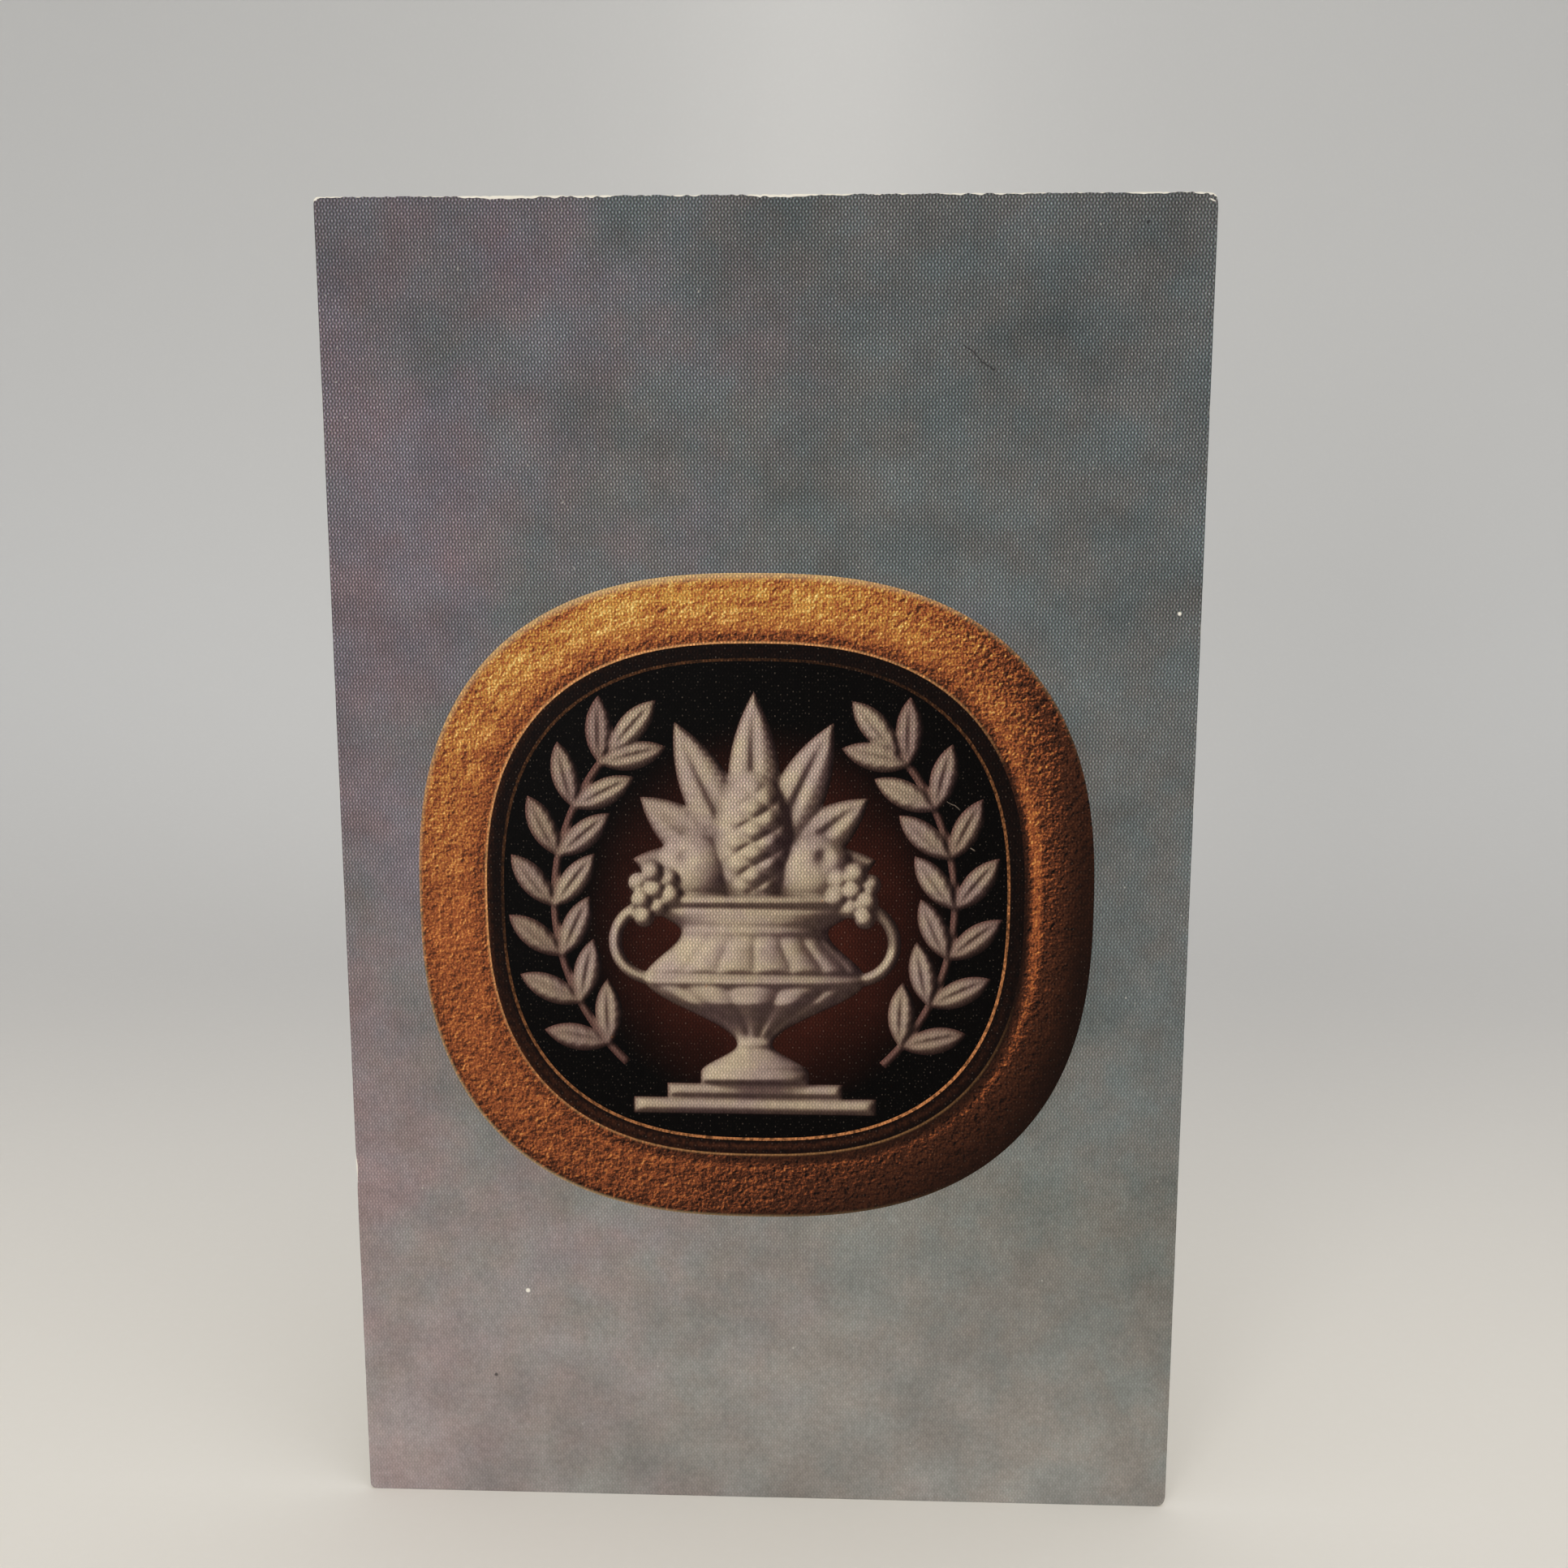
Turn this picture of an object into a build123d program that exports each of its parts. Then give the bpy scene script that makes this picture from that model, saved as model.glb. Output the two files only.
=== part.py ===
from build123d import *

import os
from math import atan2, cos, degrees, hypot, radians, sin

# A picture postcard of layered board, with a printed picture side and a plain message side.
#
# The card stands upright: X runs along its short side, Z up its long side, and the picture
# faces -Y. The origin is the middle of the bottom edge. Plies and ink films lie face to face
# along Y. The picture is one skin of ink, divided into the areas that it shows.

os.makedirs("parts", exist_ok=True)

# Card, as cut
card_width = 89.0
card_height = 140.0
corner_radius = 0.4

# Thickness of each layer, from the message side to the picture side
back_liner_thickness = 0.05
core_ply_thickness = 0.07
front_liner_thickness = 0.04
clay_coat_thickness = 0.02
ink_thickness = 0.01

# The framed oval: its place, the full size of the gold ring, and the bands inside the ring
oval_shift = -0.9
oval_centre_height = 68.2
ring_width = 71.0
ring_height = 69.6
ring_band = 7.2
groove_band = 1.5
bezel_band = 0.3
oval_power = 2.55
oval_points = 32

# Laurel sprays that follow the inside of the oval
laurel_inset = 5.4
laurel_start_angle = -52.0
laurel_end_angle = 50.0
laurel_stem_width = 0.9
laurel_leaf_length = 7.2
laurel_leaf_width = 2.9
laurel_leaf_angle = 38.0
laurel_pairs = 7
laurel_tip_lap = 1.0

# Stepped plinth under the urn
plinth_gap = 2.7
plinth_base_height = 1.8
plinth_top_height = 1.6
plinth_step = 3.6

# Urn: it fills the space between the sprays, and its lip stands at a set height over the
# oval's centre. Widths step in and out from the bowl's, which takes the height that is left.
urn_gap = 1.2
lip_rise = 0.9
foot_width = 11.6
foot_height = 1.2
stem_width = 3.8
stem_height = 3.2
shoulder_step = 4.0
shoulder_height = 5.2
lip_flare = 3.3
lip_flare_height = 2.8
lip_height = 1.0
handle_reach = 3.0
handle_thickness = 1.4

# Heap in the urn: a cone, and a round fruit on each side between the cone and the lip's end
cone_width = 8.2
cone_top_gap = 11.4
fruit_lap = 2.3
fruit_margin = 0.4
heap_sink = 1.9

# Bunch of grapes that hangs over each end of the lip
grape_diameter = 2.2
grape_pitch = 1.85
grape_packing_angle = 60.0
grape_rows = (2, 3, 2, 1)
bunch_angle = -68.0
bunch_rise = 2.2
bunch_inset = 1.2

# Pointed leaves that fan out behind the heap, with their tips on an oval of their own
fan_leaf_width = 5.6
fan_leaf_angle = 23.0
fan_leaf_pairs = 3
fan_rise = 1.0
fan_top_gap = 3.2
fan_side_gap = 3.8

# Message side, which is read with the card on its side: the address half is the upper half here
line_width = 0.3
divider_margin = 8.0
address_line_length = 54.0
address_line_pitch = 9.0
address_line_count = 4
address_margin = 10.0
stamp_width = 21.0
stamp_height = 25.0
stamp_margin = 6.0

# Where each thing stands, worked out from the sizes above
board_thickness = back_liner_thickness + 3 * core_ply_thickness + front_liner_thickness
picture_depth = board_thickness + clay_coat_thickness
card_thickness = picture_depth + ink_thickness
groove_width = ring_width - 2 * ring_band
groove_height = ring_height - 2 * ring_band
bezel_width = groove_width - 2 * groove_band
bezel_height = groove_height - 2 * groove_band
field_width = bezel_width - 2 * bezel_band
field_height = bezel_height - 2 * bezel_band
stem_oval_width = field_width - 2 * laurel_inset
stem_oval_height = field_height - 2 * laurel_inset
laurel_middle_angle = (laurel_start_angle + laurel_end_angle) / 2
laurel_reach = laurel_leaf_length * sin(radians(laurel_leaf_angle))
sprays_apart = stem_oval_width - 2 * laurel_reach
plinth_bottom = plinth_gap - field_height / 2
plinth_top_width = foot_width + 2 * plinth_step
plinth_base_width = plinth_top_width + 2 * plinth_step
urn_bottom = plinth_bottom + plinth_base_height + plinth_top_height
urn_width = sprays_apart - 2 * urn_gap
bowl_width = urn_width - 2 * handle_reach - handle_thickness
neck_width = bowl_width - 2 * shoulder_step
lip_width = neck_width + 2 * lip_flare
stem_top = urn_bottom + foot_height + stem_height
lip_bottom = lip_rise - lip_height
neck_top = lip_bottom - lip_flare_height
bowl_top = neck_top - shoulder_height
oval_centre = (oval_shift, oval_centre_height)
heap_bottom = lip_rise - heap_sink
cone_height = field_height / 2 - cone_top_gap - heap_bottom
fruit_diameter = lip_width / 2 - fruit_margin - (cone_width / 2 - fruit_lap)
fruit_place = lip_width / 2 - fruit_margin - fruit_diameter / 2
bunch_place = (lip_width / 2 - bunch_inset, lip_rise + bunch_rise)
grape_row_pitch = grape_pitch * sin(radians(grape_packing_angle))
fan_oval_width = sprays_apart - 2 * fan_side_gap
fan_oval_height = field_height - 2 * fan_top_gap
fan_middle = lip_rise + fan_rise
address_half_middle = card_height * 3 / 4
address_lines_middle = (
    address_margin + (address_line_count - 1) * address_line_pitch / 2 - card_width / 2
)


def layer_plane(depth):
    """The plane of a layer that starts at a depth from the message side, facing -Y."""
    return Plane.XZ.offset(depth - card_thickness / 2)


def oval_point(width, height, angle):
    """The point of the rounded oval |x/a|^n + |y/b|^n = 1 in a direction from its centre."""
    across = cos(radians(angle))
    up = sin(radians(angle))
    spread = abs(across / (width / 2)) ** oval_power + abs(up / (height / 2)) ** oval_power
    reach = spread ** (-1 / oval_power)
    return (reach * across, reach * up)


class Card(BaseSketchObject):
    """The card's outline, standing on the origin."""

    def __init__(self, mode=Mode.ADD):
        with BuildSketch() as outline:
            RectangleRounded(
                card_width, card_height, corner_radius, align=(Align.CENTER, Align.MIN)
            )
        super().__init__(obj=outline.sketch, mode=mode)


class Oval(BaseSketchObject):
    """A rounded oval, filled, about the origin."""

    def __init__(self, width, height, mode=Mode.ADD):
        turns = [360 * step / oval_points for step in range(oval_points)]
        with BuildSketch() as oval:
            with BuildLine():
                Spline(*[oval_point(width, height, angle) for angle in turns], periodic=True)
            make_face()
        super().__init__(obj=oval.sketch, mode=mode)


class Leaf(BaseSketchObject):
    """A pointed leaf between two equal arcs, from the origin along +X."""

    def __init__(self, length, width, mode=Mode.ADD):
        with BuildSketch() as leaf:
            with BuildLine():
                upper = ThreePointArc((0, 0), (length / 2, width / 2), (length, 0))
                mirror(upper, about=Plane.XZ)
            make_face()
        super().__init__(obj=leaf.sketch, mode=mode)


class TurnedProfile(BaseSketchObject):
    """An outline turned about the Y axis: S-curves, upright at both ends, join its widths."""

    def __init__(self, stations, mode=Mode.ADD):
        with BuildSketch() as profile:
            with BuildLine():
                Line((0, stations[0][1]), (stations[0][0] / 2, stations[0][1]))
                for (width, height), (next_width, next_height) in zip(stations, stations[1:]):
                    third = (next_height - height) / 3
                    Bezier(
                        (width / 2, height),
                        (width / 2, height + third),
                        (next_width / 2, next_height - third),
                        (next_width / 2, next_height),
                    )
                Line((stations[-1][0] / 2, stations[-1][1]), (0, stations[-1][1]))
                Line((0, stations[-1][1]), (0, stations[0][1]))
            make_face()
            mirror(about=Plane.YZ)
        super().__init__(obj=profile.sketch, mode=mode)


class GrapeBunch(BaseSketchObject):
    """Rows of round grapes, packed close, along +X from the origin."""

    def __init__(self, mode=Mode.ADD):
        with BuildSketch() as bunch:
            for row, count in enumerate(grape_rows):
                with Locations((row * grape_row_pitch, 0)):
                    with GridLocations(0, grape_pitch, 1, count):
                        Circle(grape_diameter / 2)
        super().__init__(obj=bunch.sketch, mode=mode)


# Outlines on the message side, in the card's own plane

with BuildSketch() as divider_shape:
    with Locations((0, card_height / 2)):
        Rectangle(card_width - 2 * divider_margin, line_width)

with BuildSketch() as address_shape:
    with Locations((address_lines_middle, address_half_middle)):
        with GridLocations(address_line_pitch, 0, address_line_count, 1):
            Rectangle(line_width, address_line_length)

with BuildSketch() as stamp_shape:
    with Locations((card_width / 2 - stamp_margin, card_height - stamp_margin)):
        Rectangle(stamp_height, stamp_width, align=Align.MAX)
        offset(amount=-line_width, mode=Mode.SUBTRACT)

# Outlines of the relief, about the oval's centre

with BuildSketch() as plinth_shape:
    with Locations((0, plinth_bottom)):
        Rectangle(plinth_base_width, plinth_base_height, align=(Align.CENTER, Align.MIN))
    with Locations((0, plinth_bottom + plinth_base_height)):
        Rectangle(plinth_top_width, plinth_top_height, align=(Align.CENTER, Align.MIN))

with BuildSketch() as urn_shape:
    with BuildLine():
        ThreePointArc(
            (bowl_width / 2 - handle_thickness / 2, bowl_top),
            (bowl_width / 2 + handle_reach, (bowl_top + lip_bottom) / 2),
            (lip_width / 2 - handle_thickness / 2, lip_bottom),
        )
    trace(line_width=handle_thickness)
    mirror(about=Plane.YZ)
    TurnedProfile(
        (
            (foot_width, urn_bottom),
            (foot_width, urn_bottom + foot_height),
            (stem_width, stem_top),
            (bowl_width, bowl_top),
            (neck_width, neck_top),
            (lip_width, lip_bottom),
            (lip_width, lip_rise),
        )
    )

with BuildSketch() as grape_shape:
    with Locations(Location(bunch_place, bunch_angle)):
        GrapeBunch()
    mirror(about=Plane.YZ)

with BuildSketch() as heap_shape:
    with Locations((fruit_place, heap_bottom + fruit_diameter / 2)):
        Circle(fruit_diameter / 2)
    mirror(about=Plane.YZ)
    with Locations((0, heap_bottom + cone_height / 2)):
        Ellipse(cone_width / 2, cone_height / 2)

with BuildSketch() as fan_shape:
    for step in range(-fan_leaf_pairs, fan_leaf_pairs + 1):
        tip = oval_point(fan_oval_width, fan_oval_height, 90 + step * fan_leaf_angle)
        rise = tip[1] - fan_middle
        with Locations(Location((0, fan_middle), degrees(atan2(rise, tip[0])))):
            Leaf(hypot(tip[0], rise), fan_leaf_width)

with BuildSketch() as laurel_shape:
    with BuildLine():
        stem_angles = (laurel_start_angle, laurel_middle_angle, laurel_end_angle)
        stem = ThreePointArc(*[oval_point(stem_oval_width, stem_oval_height, a) for a in stem_angles])
    trace(line_width=laurel_stem_width)
    for pair in range(laurel_pairs):
        place = (pair + 0.5) / laurel_pairs
        for side in (-1, 1):
            turn = stem.tangent_angle_at(place) + side * laurel_leaf_angle
            with Locations(Location(stem @ place, turn)):
                Leaf(laurel_leaf_length, laurel_leaf_width)
    tip_place = 1 - laurel_tip_lap / stem.length
    with Locations(Location(stem @ tip_place, stem.tangent_angle_at(tip_place))):
        Leaf(laurel_leaf_length, laurel_leaf_width)

with BuildSketch() as mirrored_laurel_shape:
    mirror(laurel_shape.sketch, about=Plane.YZ)

# Board, from the message side to the picture side. The message side's ink lies in the liner.

pieces = {}
back_print = {
    "divider_line": divider_shape,
    "address_lines": address_shape,
    "stamp_box": stamp_shape,
}
for name, shape in back_print.items():
    with BuildPart() as back_ink:
        with BuildSketch(layer_plane(0)):
            add(shape.sketch)
        extrude(amount=ink_thickness)
    pieces[name] = back_ink

with BuildPart() as back_liner:
    with BuildSketch(layer_plane(0)):
        Card()
    extrude(amount=back_liner_thickness)
    with BuildSketch(layer_plane(0)):
        for shape in back_print.values():
            add(shape.sketch)
    extrude(amount=ink_thickness, mode=Mode.SUBTRACT)
pieces["back_liner"] = back_liner

for ply, name in enumerate(("core_ply_back", "core_ply_middle", "core_ply_front")):
    with BuildPart() as core_ply:
        with BuildSketch(layer_plane(back_liner_thickness + ply * core_ply_thickness)):
            Card()
        extrude(amount=core_ply_thickness)
    pieces[name] = core_ply

with BuildPart() as front_liner:
    with BuildSketch(layer_plane(board_thickness - front_liner_thickness)):
        Card()
    extrude(amount=front_liner_thickness)
pieces["front_liner"] = front_liner

with BuildPart() as clay_coat:
    with BuildSketch(layer_plane(board_thickness)):
        Card()
    extrude(amount=clay_coat_thickness)
pieces["clay_coat"] = clay_coat

# Picture: the grey ground round the oval, then the bands of the oval from the outside in

with BuildPart() as background_print:
    with BuildSketch(layer_plane(picture_depth)):
        Card()
        with Locations(oval_centre):
            Oval(ring_width, ring_height, mode=Mode.SUBTRACT)
    extrude(amount=ink_thickness)
pieces["background_print"] = background_print

bands = {
    "ring_print": ((ring_width, ring_height), (groove_width, groove_height)),
    "groove_print": ((groove_width, groove_height), (bezel_width, bezel_height)),
    "bezel_print": ((bezel_width, bezel_height), (field_width, field_height)),
}
for name, (outer, inner) in bands.items():
    with BuildPart() as band:
        with BuildSketch(layer_plane(picture_depth)):
            with Locations(oval_centre):
                Oval(*outer)
                Oval(*inner, mode=Mode.SUBTRACT)
        extrude(amount=ink_thickness)
    pieces[name] = band

# Relief and the field behind it: each shape is cut back by the shapes in front of it

relief = {
    "plinth_print": plinth_shape,
    "grape_print": grape_shape,
    "urn_print": urn_shape,
    "fruit_print": heap_shape,
    "fan_leaf_print": fan_shape,
    "laurel_print_right": laurel_shape,
    "laurel_print_left": mirrored_laurel_shape,
}
in_front = []
for name, shape in relief.items():
    with BuildPart() as relief_ink:
        with BuildSketch(layer_plane(picture_depth)):
            with Locations(oval_centre):
                add(shape.sketch)
                for nearer in in_front:
                    add(nearer.sketch, mode=Mode.SUBTRACT)
        extrude(amount=ink_thickness)
    pieces[name] = relief_ink
    in_front.append(shape)

with BuildPart() as field_print:
    with BuildSketch(layer_plane(picture_depth)):
        with Locations(oval_centre):
            Oval(field_width, field_height)
            for nearer in in_front:
                add(nearer.sketch, mode=Mode.SUBTRACT)
    extrude(amount=ink_thickness)
pieces["field_print"] = field_print

for name, piece in pieces.items():
    piece.part.label = name
    export_step(piece.part, f"parts/{name}.step")
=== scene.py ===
from math import cos, pi, radians, sin

import bpy
import numpy as np
from bpy.props import FloatProperty, FloatVectorProperty, IntProperty, PointerProperty
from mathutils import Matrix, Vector


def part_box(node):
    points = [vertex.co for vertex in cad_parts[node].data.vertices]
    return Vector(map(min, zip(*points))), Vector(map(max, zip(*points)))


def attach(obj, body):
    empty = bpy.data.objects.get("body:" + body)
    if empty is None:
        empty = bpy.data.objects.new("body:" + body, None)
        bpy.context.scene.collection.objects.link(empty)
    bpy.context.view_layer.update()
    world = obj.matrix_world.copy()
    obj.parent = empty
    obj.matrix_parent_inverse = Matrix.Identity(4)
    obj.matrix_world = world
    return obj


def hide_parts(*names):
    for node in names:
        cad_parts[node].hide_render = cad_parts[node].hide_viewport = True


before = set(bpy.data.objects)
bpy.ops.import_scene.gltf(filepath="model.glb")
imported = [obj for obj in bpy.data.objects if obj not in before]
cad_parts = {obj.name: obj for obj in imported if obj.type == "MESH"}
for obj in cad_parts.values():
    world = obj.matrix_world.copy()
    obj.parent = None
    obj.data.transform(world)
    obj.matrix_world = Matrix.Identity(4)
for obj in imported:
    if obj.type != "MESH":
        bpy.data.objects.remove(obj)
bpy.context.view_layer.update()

bl_info = {
    "name": "Picture Postcard",
    "version": (1, 0, 0),
    "blender": (4, 5, 0),
    "location": "View3D > Sidebar > Postcard",
    "description": "Dresses a layered card: worn board, screened print, carved relief in print",
    "category": "Add Mesh",
}

MM = 0.001


def span(node):
    """Lowest corner and size of a CAD node, in millimetres."""
    low, high = (np.array(corner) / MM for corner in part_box(node))
    return low, high - low


card_low, card_size = span("clay_coat")
ring_low, ring_size = span("ring_print")
groove_size, bezel_size, field_size = (
    span(node)[1] for node in ("groove_print", "bezel_print", "field_print")
)
card_middle = card_low[0] + card_size[0] / 2
oval_centre = (ring_low + ring_size / 2)[[0, 2]]
print_front = ring_low[1]
print_back = print_front + ring_size[1]
# The field's ink is thinner, so that the relief stands on it within the depth of the print
field_face = print_back - 0.4 * (print_back - print_front)


# Properties


def length(name, text, millimetres):
    """A length in the scene's units, given in millimetres."""
    return FloatProperty(
        name=name, description=text, default=millimetres * MM, unit="LENGTH", precision=6
    )


def share(name, text, default):
    """A plain number, mostly between nought and one."""
    return FloatProperty(name=name, description=text, default=default, precision=3)


def turn(name, text, degrees):
    """An angle, given in degrees."""
    return FloatProperty(name=name, description=text, default=radians(degrees), unit="ROTATION")


def linear(*levels):
    """Screen levels from 0 to 255 as linear colour: the power curve of the sRGB standard."""
    level = np.array(levels) / 255
    low = level / 12.92
    return np.where(level < 0.04045, low, ((level + 0.055) / 1.055) ** 2.4).tolist()


def colour(name, text, *levels):
    """A colour, given in screen levels."""
    return FloatVectorProperty(
        name=name, description=text, default=linear(*levels), subtype="COLOR", size=3
    )


class WearSettings(bpy.types.PropertyGroup):
    """Wear along the card's cut edges and corners"""

    seed: IntProperty(name="Seed", description="Start of the random wear", default=7)
    step: length("Step", "Distance between points along the edge", 0.22)
    fray: length("Fray", "How unevenly each ply is cut", 0.009)
    nib: length("Nib", "Height of the fibres that stand out along the top edge", 0.11)
    lift: length("Lift", "How far the ink has worn back from the edge", 0.012)
    top_lift: length("Top lift", "How much further it has worn back along the top edge", 0.1)
    corner: length("Corner", "How far the upper right corner is rubbed down", 0.24)
    chip: length("Chip", "Depth of the small chips at the lower corners", 0.3)


class ScreenSettings(bpy.types.PropertyGroup):
    """Dots of the printing screen"""

    pitch: length("Pitch", "Distance between the dots of one ink", 0.165)
    depth: share("Depth", "How strongly the dots show at the top of the card", 0.54)
    faint: share("Faint", "How strongly the dots show at its foot", 0.08)
    speck: share("Speck", "Light of the paper between the dots in black areas", 0.22)


class GroundSettings(bpy.types.PropertyGroup):
    """The mottled ground round the oval"""

    # Painted light: from top to bottom these colours are partly the print's own grey and partly
    # painted light, darker towards the card's top and lighter towards its foot.
    top: colour("Top", "Ground near the card's top", 88, 88, 89)
    middle: colour("Middle", "Ground beside the oval", 101, 100, 99)
    low: colour("Low", "Ground below the oval", 115, 112, 107)
    bottom: colour("Bottom", "Ground near the card's bottom", 139, 133, 128)
    violet: colour("Violet", "Tint of the clouds on the left", 121, 104, 110)
    green: colour("Green", "Tint of the clouds on the right", 103, 105, 101)
    blue: colour("Blue", "Tint of the finer cool patches", 99, 106, 110)
    rose: colour("Rose", "Tint of the finer warm patches", 107, 103, 103)
    cloud: length("Cloud", "Size of the clouds", 18.0)


class RingSettings(bpy.types.PropertyGroup):
    """The gold frame, its groove and the thin line inside"""

    gold: colour("Gold", "Brightest gold, at the top", 236, 204, 128)
    brass: colour("Brass", "Gold in half light", 190, 140, 66)
    amber: colour("Amber", "Brightest gold at the sides", 220, 132, 70)
    copper: colour("Copper", "Gold at the sides", 154, 82, 47)
    umber: colour("Umber", "Gold in shade", 76, 42, 27)
    night: colour("Night", "The darkest of the frame", 12, 8, 7)
    rim: colour("Rim", "Thin line along the inner edge", 218, 160, 104)
    halo: colour("Halo", "Where the outer edge blurs into the ground", 196, 170, 126)
    wrinkle: length("Wrinkle", "Size of the wrinkles in the metal", 0.62)
    groove: colour("Groove", "The dark groove", 8, 5, 5)
    bezel: colour("Bezel", "The thin bright line", 186, 122, 76)


class ReliefSettings(bpy.types.PropertyGroup):
    """The carved relief and the field behind it"""

    light_turn: turn("Light direction", "Where the printed light comes from, from the right", 140)
    light_rise: turn("Light height", "How high the printed light stands over the field", 37)
    cell: length("Cell", "Size of a cell of the height map", 0.1)
    cream: colour("Cream", "Stone in full light", 181, 164, 147)
    stone: colour("Stone", "Stone in half light", 148, 131, 117)
    shade: colour("Shade", "Stone in shade", 93, 75, 68)
    deep: colour("Deep", "Stone in deep shade", 40, 27, 26)
    warm: colour("Warm", "Creamy clouds in the stone", 155, 138, 117)
    cool: colour("Cool", "Pinkish clouds in the stone", 143, 124, 115)
    stain: colour("Stain", "Rusty stains in the stone", 176, 112, 58)
    thin: colour("Thin", "Stone so thin that the dark layer shows", 96, 64, 58)
    field: colour("Field", "The dark layer", 3, 2, 2)
    glow: colour("Glow", "Brown light in the dark layer", 62, 27, 19)


class PaperSettings(bpy.types.PropertyGroup):
    """Board, liners, coating and the message side's ink"""

    coating: colour("Coating", "The white coating under the ink", 236, 231, 219)
    board: colour("Board", "The pulp plies", 214, 203, 180)
    liner: colour("Liner", "The paper of the message side", 236, 231, 217)
    tone: colour("Toning", "Age along the message side's edges", 217, 204, 176)
    ink: colour("Ink", "The message side's lines", 88, 84, 84)
    fibre: length("Fibre", "Size of the paper's fibres", 0.35)


class StageSettings(bpy.types.PropertyGroup):
    """Floor, lamps and camera"""

    # Painted light on the sweep: it is painted lighter in front of the card, darker beside and
    # behind it as a painted shade of the card, and lighter again where it rises.
    floor: colour("Floor", "The seamless sweep in front", 234, 229, 220)
    behind: colour("Behind", "The seamless sweep beside and behind the card", 205, 203, 200)
    far: colour("Far", "The seamless sweep where it rises", 211, 211, 210)
    near_wall: length("Near wall", "How far behind the card the sweep has risen", 420)
    world: share("World", "Strength of the even light", 0.52)
    key: share("Key", "Watts of the large lamp in front on the left", 2.1)
    fill: share("Fill", "Watts of the large lamp overhead", 3.6)
    lens: FloatProperty(
        name="Lens", description="Focal length on a 36 mm sensor", default=41.49, unit="CAMERA"
    )
    place: FloatVectorProperty(
        name="Camera place",
        description="Where the camera stands",
        default=(0.00988, -0.18471, 0.11476),
        subtype="TRANSLATION",
        unit="LENGTH",
    )
    aim: FloatVectorProperty(
        name="Camera aim",
        description="Direction in which the camera looks",
        default=(-0.0408, 0.983, -0.1788),
        subtype="DIRECTION",
    )


class PostcardSettings(bpy.types.PropertyGroup):
    """All the settings of the postcard"""

    wear: PointerProperty(type=WearSettings)
    screen: PointerProperty(type=ScreenSettings)
    ground: PointerProperty(type=GroundSettings)
    ring: PointerProperty(type=RingSettings)
    relief: PointerProperty(type=ReliefSettings)
    paper: PointerProperty(type=PaperSettings)
    stage: PointerProperty(type=StageSettings)


def settings():
    """The scene's settings of the postcard."""
    return bpy.context.scene.postcard


# Surfaces. Points are in millimetres in the card's own frame.

CORNER_RADIUS = 0.4
EDGE_ROOM = 8  # wear moves the edge towards a rectangle this far inside the card
OVAL_POWER = 2.55


def dress(piece, material):
    """Gives a piece its one material."""
    piece.data.materials.clear()
    piece.data.materials.append(material)


def raise_surface(name, grids, material, node=None, slot=None, hoop=False, **values):
    """Makes an object of grids of points, which stands for a CAD node and rides on the card.

    Each grid holds rows by columns by (x, y, z). Neighbours are joined by two triangles, also
    across the last and first column, and in a hoop across the last and first row. Points at one
    place become one, and triangles that lose their area go. A shell whose volume is negative is
    turned right side out. Each of the values is a list of grids of numbers, kept at the points.
    """
    vertices, triangles, kept = [], [], {key: [] for key in values}
    first = 0
    for number, grid in enumerate(grids):
        rows, columns = grid.shape[:2]
        index = np.arange(rows * columns).reshape(rows, columns)
        if hoop:
            index = np.vstack([index, index[:1]])
        index = np.hstack([index, index[:, :1]])
        merged, keep, back = np.unique(
            np.round(grid.reshape(-1, 3), 7), axis=0, return_index=True, return_inverse=True
        )
        index = back.reshape(-1)[index]
        a, b, c, d = index[:-1, :-1], index[:-1, 1:], index[1:, 1:], index[1:, :-1]
        faces = np.stack([np.stack([a, b, c], -1), np.stack([a, c, d], -1)]).reshape(-1, 3)
        faces = faces[(faces != np.roll(faces, 1, axis=1)).all(axis=1)]
        p, q, r = (merged[faces[:, corner]] for corner in range(3))
        if (np.cross(p, q) * r).sum() < 0:
            faces = faces[:, ::-1]
        vertices.append(merged)
        triangles.append(faces + first)
        first += len(merged)
        for key, parts in values.items():
            kept[key].append(parts[number].reshape(-1)[keep])
    mesh = bpy.data.meshes.new(name)
    mesh.from_pydata((np.vstack(vertices) * MM).tolist(), [], np.vstack(triangles).tolist())
    for key, parts in kept.items():
        layer = mesh.attributes.new(key, "FLOAT", "POINT")
        layer.data.foreach_set("value", np.concatenate(parts).astype(np.float32))
    piece = bpy.data.objects.new(name, mesh)
    bpy.context.scene.collection.objects.link(piece)
    dress(piece, material)
    if node:
        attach(piece, "root")
        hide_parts(node)
    return piece


def blur(field, width):
    """Smooths an array that wraps round by a Gaussian of this width, in cells, on every axis."""
    spectrum = np.fft.fftn(field)
    for axis, count in enumerate(field.shape):
        wave = np.fft.fftfreq(count)
        shape = [1] * field.ndim
        shape[axis] = count
        spectrum = spectrum * np.exp(-2 * (pi * wave * width) ** 2).reshape(shape)
    return np.fft.ifftn(spectrum).real


def edge_noise(count, seed, width):
    """Smooth random numbers round a closed edge: white noise, blurred, with a spread of one."""
    noise = blur(np.random.default_rng(seed).normal(size=count), width)
    return noise / noise.std()


def smooth(low, high, value):
    """Rises from nought to one between two values by 3t^2 - 2t^3."""
    t = np.clip((value - low) / (high - low), 0, 1)
    return t * t * (3 - 2 * t)


def bell(value, middle, width):
    """A bell curve about a middle value, e^(-t^2)."""
    return np.exp(-(((value - middle) / width) ** 2))


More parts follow.
